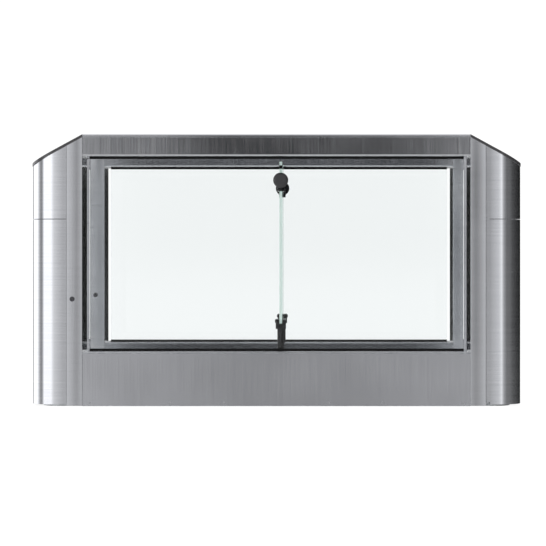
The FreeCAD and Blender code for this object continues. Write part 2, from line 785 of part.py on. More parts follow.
def pivot_pin():
    """Pin through the eye and both knuckles of the leaf hinge."""
    return rod(pivot_pin_radius, leaf_x, axis_y, hinge_low + pivot_pin_inset,
               hinge_high - pivot_pin_inset)


# ---- Drive ----------------------------------------------------------------------------------
def pulley(radius, x, y):
    """Flanged belt pulley."""
    low = belt_low - belt_gap
    high = belt_low + belt_width + belt_gap
    core = rod(radius, x, y, low, high)
    return core.multiFuse([rod(radius + pulley_flange, x, y, z0, z0 + pulley_flange_thickness)
                           for z0 in (low - pulley_flange_thickness, high)])


def leaf_pulley():
    """Large pulley with its hub, fixed on the leaf post."""
    low = belt_low - belt_gap - pulley_flange_thickness
    high = belt_low + belt_width + belt_gap + pulley_flange_thickness
    body = pulley(leaf_pulley_radius, leaf_x, axis_y)
    body = body.fuse(rod(pulley_hub_radius, leaf_x, axis_y, high, high + pulley_hub_height))
    return body.cut(rod(post_radius + press_clearance, leaf_x, axis_y, low - 1,
                        high + pulley_hub_height + 1))


def motor_pulley():
    """Small pulley on the gearmotor's output shaft."""
    shaft = rod(shaft_radius, motor_x, axis_y, bracket_underside - shaft_seat,
                belt_low + belt_width + 2 * pulley_flange)
    return pulley(motor_pulley_radius, motor_x, axis_y).fuse(shaft)


def belt_loop(gap, z0, z1):
    """Prism inside an open belt round both pulleys, at a gap from their rims."""
    big, small = leaf_pulley_radius + gap, motor_pulley_radius + gap
    lean = math.asin((big - small) / pulley_distance)
    points = []
    for x, radius in ((leaf_x, big), (motor_x, small)):
        for side in (-1, 1):
            points.append(Vector(x - radius * math.sin(lean),
                                 axis_y + side * radius * math.cos(lean), z0))
    big_low, big_high, small_low, small_high = points
    edges = [Part.makeLine(small_low, big_low),
             Part.Arc(big_low, Vector(leaf_x + big, axis_y, z0), big_high).toShape(),
             Part.makeLine(big_high, small_high),
             Part.Arc(small_high, Vector(motor_x - small, axis_y, z0), small_low).toShape()]
    return Part.Face(Part.Wire(edges)).extrude(Vector(0, 0, z1 - z0))


def drive_belt():
    """Open belt from the motor pulley to the leaf pulley."""
    z0, z1 = belt_low, belt_low + belt_width
    outer = belt_loop(belt_gap + belt_thickness, z0, z1)
    return outer.cut(belt_loop(belt_gap, z0 - 1, z1 + 1))


def drive_bracket():
    """Folded frame on the floor channel that holds both bearings and the gearmotor."""
    centre_y = -lane_pitch / 2
    x0, x1 = motor_x - bracket_end_margin, leaf_x + bracket_end_margin
    y0, y1 = centre_y + bracket_v0, centre_y + bracket_v1
    body = block(x0, x1, y0, y1, bracket_bottom, bracket_top)
    body = body.cut(block(x0 + bracket_wall, x1 - bracket_wall, y0 - 1, y1 + 1,
                          bracket_bottom + bracket_plate, bracket_underside))
    body = body.cut(rod(bearing_foot_outer_radius + running_clearance, leaf_x, axis_y,
                        bracket_bottom - 1, bracket_bottom + bracket_plate + 1))
    body = body.cut(rod(bearing_outer_radius + running_clearance, leaf_x, axis_y,
                        bracket_underside - 1, bracket_top + 1))
    return body.cut(rod(shaft_hole, motor_x, axis_y, bracket_underside - 1, bracket_top + 1))


def leaf_bearings():
    """Foot bearing and upper bearing of the leaf post."""
    return [ring(bearing_foot_outer_radius, post_foot_radius + running_clearance, leaf_x,
                 axis_y, bracket_bottom, bracket_bottom + bracket_plate),
            ring(bearing_outer_radius, post_radius + running_clearance, leaf_x, axis_y,
                 bracket_underside, bracket_top)]


def gearmotor():
    """Motor and gearbox hung under the bracket's upper plate."""
    gearbox_low = bracket_underside - gearbox_height
    body = rod(motor_radius, motor_x, axis_y, motor_bottom, gearbox_low)
    body = body.fuse(rod(gearbox_radius, motor_x, axis_y, gearbox_low, bracket_underside))
    return body.cut(rod(shaft_radius + running_clearance, motor_x, axis_y,
                        bracket_underside - shaft_seat - free_gap, bracket_underside + 1))


# ---- Output ---------------------------------------------------------------------------------
def export(name, shapes):
    """Write one node as a STEP file."""
    solids = [solid for shape in shapes for solid in shape.Solids]
    node = solids[0] if len(solids) == 1 else Part.makeCompound(solids)
    node.exportStep(os.path.join("parts", name + ".step"))
    print(name, len(solids), round(sum(solid.Volume for solid in solids) / 1000), "cm3")


def main():
    """Build and write every node."""
    os.makedirs("parts", exist_ok=True)
    for cabinet in CABINETS:
        for end in ENDS:
            place = cabinet + "_" + end
            export(place + "_post", [at_tower(post(), cabinet, end)])
            export(place + "_upper_shell", [at_tower(upper_shell(), cabinet, end)])
            export(place + "_door", [at_tower(door(), cabinet, end)])
            export(place + "_lock", [at_tower(lock_plug(), cabinet, end)])
        export(cabinet + "_caps", [at_tower(cap(), cabinet, end) for end in ENDS])
        export(cabinet + "_top_beam", [at_cabinet(top_beam(), cabinet)])
        export(cabinet + "_side_panels", [at_cabinet(one, cabinet) for one in side_panels()])
        export(cabinet + "_infill_glass", [at_cabinet(infill_glass(), cabinet)])
        export(cabinet + "_leaf_post", [at_leaf(leaf_post(), cabinet)])
        export(cabinet + "_leaf_clamp", [at_leaf(clamp_head(), cabinet)])
        export(cabinet + "_leaf_glass", [at_leaf(leaf_glass(), cabinet)])
        export(cabinet + "_leaf_hinge", [at_leaf(leaf_hinge(), cabinet)])
        export(cabinet + "_leaf_fixings", [at_leaf(one, cabinet) for one in leaf_fixings()])
        export(cabinet + "_leaf_pulley", [at_leaf(leaf_pulley(), cabinet)])
        export(cabinet + "_motor_pulley", [at_leaf(motor_pulley(), cabinet)])
    export("top_plates", both_cabinets([top_plate()]))
    export("lower_covers", [bored_lower_cover(cabinet) for cabinet in CABINETS])
    export("frame_rails", both_cabinets(frame_rails()))
    export("floor_channels", both_cabinets([floor_channel()]))
    export("panel_screws", both_cabinets(panel_screws()))
    export("glass_channels", both_cabinets(glass_channels()))
    export("glass_gaskets", both_cabinets(glass_gaskets()))
    export("base_plates", all_towers([base_plate()]))
    export("cable_grommets", all_towers([cable_grommet()]))
    export("door_pivots", all_towers(door_pivots()))
    export("lock_housings", all_towers([lock_housing()]))
    export("reader_modules", all_towers([reader_module()]))
    export("control_boxes", [at_tower(electronics_box(control_size), cabinet, "entry")
                             for cabinet in CABINETS])
    export("power_supplies", [at_tower(electronics_box(supply_size), cabinet, "exit")
                              for cabinet in CABINETS])
    export("drive_brackets", both_leaves([drive_bracket()]))
    export("leaf_bearings", both_leaves(leaf_bearings()))
    export("gearmotors", both_leaves([gearmotor()]))
    export("drive_belts", both_leaves([drive_belt()]))
    export("pivot_arms", both_leaves([pivot_arm()]))
    export("pivot_discs", both_leaves([pivot_disc()]))
    export("pivot_pins", both_leaves([pivot_pin()]))


main()
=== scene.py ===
"""Swing-leaf lane gate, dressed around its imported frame.

Two brushed stainless cabinets with half-round ends stand either side of a lane, and each swings a
glass leaf into it. The row frame is in metres: +Z is up, the lane runs along X, cabinet a stands at
-Y and cabinet b at +Y. The sizes of the sub-assemblies are in millimetres.
"""

import json
import logging
import math
from dataclasses import dataclass, field
from enum import Enum
from typing import Any, Sequence

import bmesh
import bpy
from mathutils import Matrix, Vector

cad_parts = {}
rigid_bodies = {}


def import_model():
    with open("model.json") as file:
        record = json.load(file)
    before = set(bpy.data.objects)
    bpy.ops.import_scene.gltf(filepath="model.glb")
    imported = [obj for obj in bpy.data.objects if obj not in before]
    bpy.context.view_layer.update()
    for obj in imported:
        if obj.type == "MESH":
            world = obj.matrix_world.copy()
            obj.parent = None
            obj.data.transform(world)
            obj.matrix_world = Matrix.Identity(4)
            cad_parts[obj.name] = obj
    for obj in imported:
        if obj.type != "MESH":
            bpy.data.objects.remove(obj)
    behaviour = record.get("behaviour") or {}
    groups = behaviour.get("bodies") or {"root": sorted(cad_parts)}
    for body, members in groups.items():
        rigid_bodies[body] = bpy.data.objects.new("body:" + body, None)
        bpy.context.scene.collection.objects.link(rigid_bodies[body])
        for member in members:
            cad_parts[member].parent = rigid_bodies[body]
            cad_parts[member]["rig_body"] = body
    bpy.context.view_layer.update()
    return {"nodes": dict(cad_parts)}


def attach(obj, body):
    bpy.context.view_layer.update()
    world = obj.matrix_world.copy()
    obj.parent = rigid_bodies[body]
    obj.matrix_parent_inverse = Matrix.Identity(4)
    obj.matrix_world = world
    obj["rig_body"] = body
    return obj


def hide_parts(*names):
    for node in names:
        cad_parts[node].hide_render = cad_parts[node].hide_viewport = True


LOG = logging.getLogger("lane_gate")
MM = 0.001
WHITE = (1.0, 1.0, 1.0, 1.0)
Point = tuple[float, float]
Ring = list[tuple[float, float, float]]
Object = bpy.types.Object
Tree = bpy.types.NodeTree
Node = bpy.types.Node
Socket = bpy.types.NodeSocket
Inputs = dict[str | int, Any] | Sequence[Any]


# ---- Nodes and colours ----------------------------------------------------------------------
def linear(hex_colour: str) -> tuple[float, float, float, float]:
    """Turn an sRGB hex colour into linear RGBA.

    Args:
        hex_colour: Colour such as "#c8cacb".

    Returns:
        The linear colour, opaque.
    """
    channels = (int(hex_colour[place:place + 2], 16) / 255.0 for place in (1, 3, 5))
    red, green, blue = (c / 12.92 if c <= 0.04045 else ((c + 0.055) / 1.055) ** 2.4
                        for c in channels)
    return red, green, blue, 1.0


def add(tree: Tree, kind: str, inputs: Inputs = (), **settings: Any) -> Node:
    """Add a node with its settings and links.

    Args:
        tree: Node tree that takes the node.
        kind: Node type identifier.
        inputs: Sockets by name or number, or in their order. Each is given a value, an output to
            link or a node whose first output is linked.
        **settings: Properties of the node.

    Returns:
        The new node.
    """
    node = tree.nodes.new(kind)
    for key, value in settings.items():
        setattr(node, key, value)
    for key, value in (inputs.items() if isinstance(inputs, dict) else enumerate(inputs)):
        source = value.outputs[0] if isinstance(value, Node) else value
        if isinstance(source, Socket):
            tree.links.new(source, node.inputs[key])
        else:
            node.inputs[key].default_value = source
    return node


def cleared(owner: bpy.types.ID) -> Tree:
    """Turn nodes on for a material or a world.

    Args:
        owner: The material or the world.

    Returns:
        Its tree, with no nodes.
    """
    owner.use_nodes = True
    owner.node_tree.nodes.clear()
    return owner.node_tree


def fill_ramp(node: Node, stops: Sequence[tuple[float, tuple[float, ...]]]) -> Node:
    """Set a colour ramp's stops.

    Args:
        node: Colour ramp node.
        stops: Position and linear colour of each stop, in order.

    Returns:
        The same node.
    """
    elements = node.color_ramp.elements
    while len(elements) > 1:
        elements.remove(elements[-1])
    elements[0].position, elements[0].color = stops[0]
    for position, colour in stops[1:]:
        elements.new(position).color = colour
    return node


# ---- Finishes -------------------------------------------------------------------------------
class Grain(Enum):
    """Way that a sheet was brushed: noise scales per metre, tangent axis and turn."""

    LEVEL = ((4.0, 4.0, 400.0), "Z", 0.25)
    UPRIGHT = ((450.0, 450.0, 4.0), "Z", 0.0)
    LENGTHWISE = ((4.0, 300.0, 300.0), "Y", 0.25)


@dataclass(frozen=True)
class Finish:
    """Material named for what the real one is."""

    name: str

    def sockets(self, tree: Tree, place: Socket) -> dict[str | int, Any]:
        """Make the pattern.

        Args:
            tree: Tree that takes the nodes.
            place: Object coordinates.

        Returns:
            The surface shader's values and links, by socket.
        """
        raise NotImplementedError

    def make(self) -> bpy.types.Material:
        """Build the material.

        Returns:
            The material.
        """
        material = bpy.data.materials.new(self.name)
        tree = cleared(material)
        place = add(tree, "ShaderNodeTexCoord").outputs["Object"]
        shader = add(tree, "ShaderNodeBsdfPrincipled", self.sockets(tree, place))
        add(tree, "ShaderNodeOutputMaterial", (shader,))
        return material


@dataclass(frozen=True)
class BrushedSteel(Finish):
    """Austenitic stainless sheet, belt-brushed with about 180 grit.

    The grooves of such a belt are near 0.1 mm wide, too fine to show, so the streaks are drawn
    about 3 mm wide. They stretch a reflection across the grooves and keep it sharp along them.
    """

    grain: Grain = Grain.LEVEL
    light: str = "#d0d1d4"
    dark: str = "#c2c4c7"
    roughness: float = 0.16
    roughness_spread: float = 0.04
    anisotropy: float = 0.7
    streak_depth: float = 0.03
    wear: float = 0.02

    def sockets(self, tree: Tree, place: Socket) -> dict[str | int, Any]:
        """Make streaks of tone, gloss and relief along the grain, and faint clouds of wear.

        Args:
            tree: Tree that takes the nodes.
            place: Object coordinates.

        Returns:
            The surface shader's values and links, by socket.
        """
        scale, axis, turn = self.grain.value
        half = self.roughness_spread / 2
        stretched = add(tree, "ShaderNodeMapping", {"Vector": place, "Scale": scale})
        streaks = add(tree, "ShaderNodeTexNoise", {
            "Vector": stretched, "Scale": 1.0, "Detail": 5.0, "Roughness": 0.72})
        clouds = add(tree, "ShaderNodeTexNoise", {
            "Vector": place, "Scale": 3.0, "Detail": 2.0, "Roughness": 0.5})
        spread = add(tree, "ShaderNodeMapRange", (streaks, 0.3, 0.7, self.roughness - half,
                                                  self.roughness + half))
        worn = add(tree, "ShaderNodeMapRange", (clouds, 0.35, 0.65, -self.wear, self.wear))
        return {
            "Base Color": fill_ramp(add(tree, "ShaderNodeValToRGB", (streaks,)),
                                    [(0.3, linear(self.dark)), (0.7, linear(self.light))]),
            "Roughness": add(tree, "ShaderNodeMath", (spread, worn), operation="ADD"),
            "Normal": add(tree, "ShaderNodeBump", {
                "Height": streaks, "Strength": self.streak_depth, "Distance": 0.3 * MM}),
            "Tangent": add(tree, "ShaderNodeTangent", direction_type="RADIAL", axis=axis),
            "Metallic": 1.0, "Anisotropic": self.anisotropy, "Anisotropic Rotation": turn}


@dataclass(frozen=True)
class Speckled(Finish):
    """Surface with a fine random grain: paint, plating, rubber, moulded plastic.

    The grain size is the real one where it shows, and a coat adds the clear gloss over it.
    """

    light: str
    dark: str
    grain_mm: float
    metallic: float
    roughness: float
    roughness_spread: float
    bump_strength: float
    bump_mm: float
    coat: float = 0.0
    cells: bool = False
    specular: float = 0.5

    def sockets(self, tree: Tree, place: Socket) -> dict[str | int, Any]:
        """Make specks of tone, gloss and relief.

        Args:
            tree: Tree that takes the nodes.
            place: Object coordinates.

        Returns:
            The surface shader's values and links, by socket.
        """
        scale, half = 1.0 / (self.grain_mm * MM), self.roughness_spread / 2
        if self.cells:
            grain = add(tree, "ShaderNodeTexVoronoi", {"Vector": place, "Scale": scale},
                        feature="F1")
        else:
            grain = add(tree, "ShaderNodeTexNoise", {
                "Vector": place, "Scale": scale, "Detail": 3.0, "Roughness": 0.6})
        patches = add(tree, "ShaderNodeTexNoise", {
            "Vector": place, "Scale": scale / 12.0, "Detail": 3.0})
        mixed = add(tree, "ShaderNodeMix", {0: 0.5, 2: grain, 3: patches}, data_type="FLOAT")
        return {
            "Base Color": fill_ramp(add(tree, "ShaderNodeValToRGB", (mixed,)),
                                    [(0.32, linear(self.dark)), (0.68, linear(self.light))]),
            "Roughness": add(tree, "ShaderNodeMapRange", (
                mixed, 0.3, 0.7, self.roughness - half, self.roughness + half)),
            "Normal": add(tree, "ShaderNodeBump", {
                "Height": grain, "Strength": self.bump_strength,
                "Distance": self.bump_mm * MM}),
            "Metallic": self.metallic, "Specular IOR Level": self.specular,
            "Coat Weight": self.coat, "Coat Roughness": 0.12}


@dataclass(frozen=True)
class ClearGlass(Finish):
    """Toughened soda-lime float glass, clear through its faces.

    A faint roller haze from the toughening furnace is all that breaks its gloss.
    """

    tint: str = "#f9fbfb"
    ior: float = 1.4

    def sockets(self, tree: Tree, place: Socket) -> dict[str | int, Any]:
        """Make the haze and the faint waves.

        Args:
            tree: Tree that takes the nodes.
            place: Object coordinates.

        Returns:
            The surface shader's values and links, by socket.
        """
        haze = add(tree, "ShaderNodeTexNoise", {"Vector": place, "Scale": 9.0, "Detail": 3.0})
        return {"Roughness": add(tree, "ShaderNodeMapRange", (haze, 0.4, 0.6, 0.0, 0.012)),
                "Normal": add(tree, "ShaderNodeBump", {
                    "Height": haze, "Strength": 0.02, "Distance": 0.05 * MM}),
                "Base Color": linear(self.tint), "Transmission Weight": 1.0, "IOR": self.ior}


@dataclass(frozen=True)
class GlassEdge(Finish):
    """Ground and polished edge of a thick float pane.

    The iron in the glass turns the edge pale green. Its brightness is painted: an emission glow
    stands in for the light that runs the whole width of the pane.
    """

    light: str = "#ecf5f2"
    dark: str = "#d9e9e3"
    # Colour and strength of the edge's painted glow, an emission that stands in for light.
    glow: str = "#c9ded6"
    painted_glow_strength: float = 0.55

    def sockets(self, tree: Tree, place: Socket) -> dict[str | int, Any]:
        """Make the grinding marks and the edge's painted glow.

        Args:
            tree: Tree that takes the nodes.
            place: Object coordinates.

        Returns:
            The surface shader's values and links, by socket.
        """
        grind = add(tree, "ShaderNodeTexNoise", {
            "Vector": place, "Scale": 160.0, "Detail": 3.0})
        return {
            "Base Color": fill_ramp(add(tree, "ShaderNodeValToRGB", (grind,)),
                                    [(0.3, linear(self.dark)), (0.7, linear(self.light))]),
            "Normal": add(tree, "ShaderNodeBump", {
                "Height": grind, "Strength": 0.1, "Distance": 0.05 * MM}),
            # Painted glow: the ground edge emits light though it is no lamp.
            "Roughness": 0.3, "Emission Color": linear(self.glow),
            "Emission Strength": self.painted_glow_strength, "IOR": 1.5}


class Finishes:
    """Every finish of the gate, made once and shared."""

    STEEL_LEVEL = BrushedSteel("stainless_brushed_level", Grain.LEVEL, "#d3d4d7", "#c3c5c8",
                               0.19, anisotropy=0.9, streak_depth=0.025)
    STEEL_UPRIGHT = BrushedSteel("stainless_brushed_upright", Grain.UPRIGHT, "#d8d9dc",
                                 "#b3b5b8", 0.13, streak_depth=0.01)
    STEEL_PANEL = BrushedSteel("stainless_brushed_panel", Grain.UPRIGHT, "#cdced1",
                               "#c1c3c6", 0.13, 0.015, streak_depth=0.004)
    STEEL_LENGTHWISE = BrushedSteel("stainless_brushed_lengthwise", Grain.LENGTHWISE)
    CAP = Speckled("cap_powder_coat_black", "#3c3b3d", "#2b2a2c", 1.5, 0.0, 0.34, 0.1, 0.2,
                   0.06, 0.3)
    HARDWARE = Speckled("hardware_black_anodised", "#121213", "#080809", 1.0, 0.0, 0.26, 0.08,
                        0.1, 0.02, specular=0.35)
    DISC = Speckled("disc_black_anodised_matt", "#303031", "#242425", 0.8, 0.0, 0.42, 0.1, 0.1,
                    0.02)
    RUBBER = Speckled("epdm_rubber_black", "#161617", "#0b0b0c", 0.8, 0.0, 0.6, 0.15, 0.3, 0.04,
                      specular=0.15)
    ZINC = Speckled("galvanised_steel", "#b4b7b9", "#8f9396", 9.0, 1.0, 0.42, 0.2, 0.1, 0.04,
                    0.0, True)
    CHROME = Speckled("zinc_die_casting_dark_chrome", "#6a6b6e", "#4c4d50", 0.6, 1.0, 0.22,
                      0.08, 0.08, 0.01)
    FASTENER = Speckled("screw_stainless_a2", "#b9babc", "#9a9b9e", 0.5, 1.0, 0.3, 0.1, 0.1,
                        0.01)
    ALUMINIUM = Speckled("aluminium_anodised", "#c6c8ca", "#b2b4b7", 0.7, 1.0, 0.36, 0.1, 0.1,
                         0.01)
    BEARING = Speckled("bearing_steel_ground", "#c9cacc", "#b5b6b9", 0.5, 1.0, 0.18, 0.06, 0.05,
                       0.01)
    ABS = Speckled("abs_moulded_grey", "#55585c", "#484b4f", 0.9, 0.0, 0.48, 0.1, 0.35, 0.05)
    MODULE = Speckled("steel_case_painted", "#9fa3a6", "#8c9093", 1.1, 0.4, 0.4, 0.1, 0.2, 0.04)
    GLASS = ClearGlass("float_glass_clear")
    EDGE = GlassEdge("float_glass_ground_edge_painted_glow")
    _made: dict[str, bpy.types.Material] = {}

    @classmethod
    def get(cls, finish: Finish) -> bpy.types.Material:
        """Return the material of a finish, building it the first time.

        Args:
            finish: The finish.

        Returns:
            The shared material.
        """
        if finish.name not in cls._made:
            cls._made[finish.name] = finish.make()
        return cls._made[finish.name]


# ---- Mesh making ----------------------------------------------------------------------------
def raised(outline: Sequence[Point], level: float, axis: int) -> Ring:
    """Lift an outline to a level.

    Args:
        outline: Points in the two other axes, in their order.
        level: Level along the axis.
        axis: 0, 1 or 2.

    Returns:
        The points in space.
    """
    return [(*point[:axis], level, *point[axis:]) for point in outline]


def smooth(mesh: bpy.types.Mesh, sharp: float) -> None:
    """Shade a mesh smooth up to an angle in degrees."""
    mesh.shade_smooth()
    mesh.set_sharp_from_angle(angle=math.radians(sharp))


def place_object(name: str, data: bpy.types.ID) -> Object:
    """Put new data into the scene.

    Args:
        name: Name of the object.
        data: Mesh or camera.

    Returns:
        The new object, at the origin.
    """
    made = bpy.data.objects.new(name, data)
    bpy.context.scene.collection.objects.link(made)
    return made


class Shape:
    """Mesh under construction, in millimetres in the row frame.

    Attributes:
        merge: Distance under which points become one.
    """

    merge = 0.001

    def __init__(self) -> None:
        """Start with no faces."""
        self.bm = bmesh.new()

    def _face(self, corners: Sequence[bmesh.types.BMVert], material: int) -> None:
        """Add a face unless it already exists.

        Args:
            corners: Corners in order.
            material: Material number.
        """
        try:
            self.bm.faces.new(corners).material_index = material
        except ValueError:
            pass

    def loft(self, rings: Sequence[Sequence[Sequence[float]]], material: int = 0,
             capped: bool = True, closed: bool = False) -> None:
        """Skin a row of rings that have the same number of points.

        Args:
            rings: Closed rings of points, in order.
            material: Material number of the new faces.
            capped: Close the first and the last ring.
            closed: Join the last ring to the first.
        """
        rows = [[self.bm.verts.new(point) for point in ring] for ring in rings]
        pairs = list(zip(rows, rows[1:]))
        if closed:
            pairs.append((rows[-1], rows[0]))
        for low, high in pairs:
            for here in range(len(low)):
                there = (here + 1) % len(low)
                self._face((low[here], low[there], high[there], high[here]), material)
        if capped and not closed:
            self._face(rows[0], material)
            self._face(rows[-1], material)

    def block(self, low: Sequence[float], high: Sequence[float]) -> None:
        """Add a box between opposite corners."""
        self.prism([(low[0], low[1]), (high[0], low[1]), (high[0], high[1]),
                    (low[0], high[1])], low[2], high[2])

    def lathe(self, profile: Sequence[Point], centre: Sequence[float],
              axis: Sequence[float] = (0, 0, 1), sides: int = 48) -> None:
        """Turn a profile about an axis.

        Args:
            profile: Radius and distance along the axis of each point.
            centre: Point on the axis where the distance is zero.
            axis: Direction of the axis.
            sides: Number of sides of the turned shape.
        """
        turn = Vector((0, 0, 1)).rotation_difference(Vector(axis)).to_matrix()
        angles = [2 * math.pi * step / sides for step in range(sides)]
        self.loft([[tuple(turn @ Vector((radius * math.cos(a), radius * math.sin(a), along))
                          + Vector(centre)) for a in angles] for radius, along in profile], 0)

    def prism(self, outline: Sequence[Point], low: float, high: float,
              axis: int = 2) -> None:
        """Extrude an outline along an axis.

        Args:
            outline: Points in the two other axes, in their order.
            low: Start along the axis.
            high: End along the axis.
            axis: 0, 1 or 2.
        """
        self.loft([raised(outline, level, axis) for level in (low, high)])

    def turned(self, centre: Sequence[float], degrees: float) -> "Shape":
        """Turn everything so far about an upright axis.

        Args:
            centre: Point on the axis.
            degrees: Angle.

        Returns:
            This shape.
        """
        turn = Matrix.Rotation(math.radians(degrees), 3, "Z")
        bmesh.ops.rotate(self.bm, verts=self.bm.verts, cent=Vector(centre), matrix=turn)
        return self

    def moved(self, offset: Sequence[float]) -> "Shape":
        """Move everything so far by an offset."""
        bmesh.ops.translate(self.bm, verts=self.bm.verts, vec=Vector(offset))
        return self

    def to_object(self, name: str, finishes: Sequence[Finish],
                  sharp: float = 32.0) -> Object:
        """Turn the shape into an object in metres.

        Args:
            name: Name of the piece.
            finishes: Finishes in the order of the material numbers.
            sharp: Angle in degrees past which an edge stays sharp.

        Returns:
            The new object, at the origin.
        """
        bmesh.ops.remove_doubles(self.bm, verts=self.bm.verts, dist=self.merge)
        bmesh.ops.scale(self.bm, vec=(MM, MM, MM), verts=self.bm.verts)
        bmesh.ops.recalc_face_normals(self.bm, faces=self.bm.faces)
        mesh = bpy.data.meshes.new(name)
        self.bm.to_mesh(mesh)
        self.bm.free()
        smooth(mesh, sharp)
        for finish in finishes:
            mesh.materials.append(Finishes.get(finish))
        return place_object(name, mesh)


def arc(centre: Point, radius: float, start: float, end: float, steps: int) -> list[Point]:
    """Points on an arc.

    Args:
        centre: Centre of the arc.
        radius: Radius.
        start: First angle in degrees.
        end: Last angle in degrees.
        steps: Number of runs between the points.

    Returns:
        The points, both ends included.
    """
    angles = (math.radians(start + (end - start) * step / steps) for step in range(steps + 1))
    return [(centre[0] + radius * math.cos(a), centre[1] + radius * math.sin(a))
            for a in angles]


def soften(piece: Object, width: float, angle: float = 40.0) -> Object:
    """Round a piece's sharp edges with a bevel.

    Args:
        piece: Object to soften.
        width: Width of the bevel in millimetres.
        angle: Angle in degrees past which an edge is bevelled.

    Returns:
        The same object.
    """
    bevel = piece.modifiers.new("softened_edges", "BEVEL")
    bevel.width = width * MM
    bevel.segments = 2
    bevel.limit_method = "ANGLE"
    bevel.angle_limit = math.radians(angle)
    bevel.use_clamp_overlap = True
    bevel.harden_normals = True
    return piece


def settle(piece: Object) -> None:
    """Turn a piece's modifiers into plain mesh, with flat walls that stay flat beside a fold.

    Args:
        piece: Object with its modifiers.
    """
    weigh = piece.modifiers.new("face_weighted_normals", "WEIGHTED_NORMAL")
    weigh.keep_sharp = True
    graph = bpy.context.evaluated_depsgraph_get()
    mesh = bpy.data.meshes.new_from_object(piece.evaluated_get(graph),
                                           preserve_all_data_layers=True, depsgraph=graph)
    piece.modifiers.clear()
    piece.data = mesh
    mesh.name = piece.name


def fit(piece: Object, body: str, slot: str, *nodes: str) -> None:
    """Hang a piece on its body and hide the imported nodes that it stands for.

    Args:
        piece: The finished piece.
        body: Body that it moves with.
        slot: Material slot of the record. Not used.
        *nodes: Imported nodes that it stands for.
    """
    settle(piece)
    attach(piece, body)
    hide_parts(*nodes)
    LOG.info("%s on %s", piece.name, body)


# ---- Sizes shared by the sub-assemblies -----------------------------------------------------
@dataclass(frozen=True)
class Layout:
    """Main sizes of the gate in millimetres."""

    half_thickness: float = 80.0
    sheet: float = 2.0
    tip: float = 905.0
    tower: float = 191.0
    strip: float = 55.8
    seam: float = 2.0
    height: float = 1000.0
    cap_drop: float = 104.0
    cap_thickness: float = 9.5
    lane_half: float = 405.0
    half_pane: float = 5.0
    leaf_x: float = 15.0
    leaf_y: float = -360.0

    @property
    def inner(self) -> float:
        """Inner face of a post."""
        return self.tip - self.tower

    @property
    def round_centre(self) -> float:
        """Centre of a half-round end."""
        return self.tip - self.half_thickness

    @property
    def shell_start(self) -> float:
        """Edge of the round shells at the seam."""
        return self.inner + self.strip + self.seam

    def seat(self, u: float) -> float:
        """Height of the plane under the sloped cap.

        Args:
            u: Distance from the cabinet's middle.

        Returns:
            The height.
        """
        slope = self.cap_drop / self.tower
        depth = self.cap_thickness * math.hypot(1.0, slope)
        return self.height - (u - self.inner) * slope - depth

    def levelled(self, outline: Sequence[Point], level: float | None) -> Ring:
        """Lift an outline to a level.

        Args:
            outline: Points on the floor.
            level: Height, or None for the plane under the sloped cap.

        Returns:
            The points in space.
        """
        return [(u, v, self.seat(u) if level is None else level) for u, v in outline]


LAYOUT = Layout()
CABINETS = {"a": -LAYOUT.lane_half, "b": LAYOUT.lane_half}
ENDS = {"exit": 0.0, "entry": 180.0}


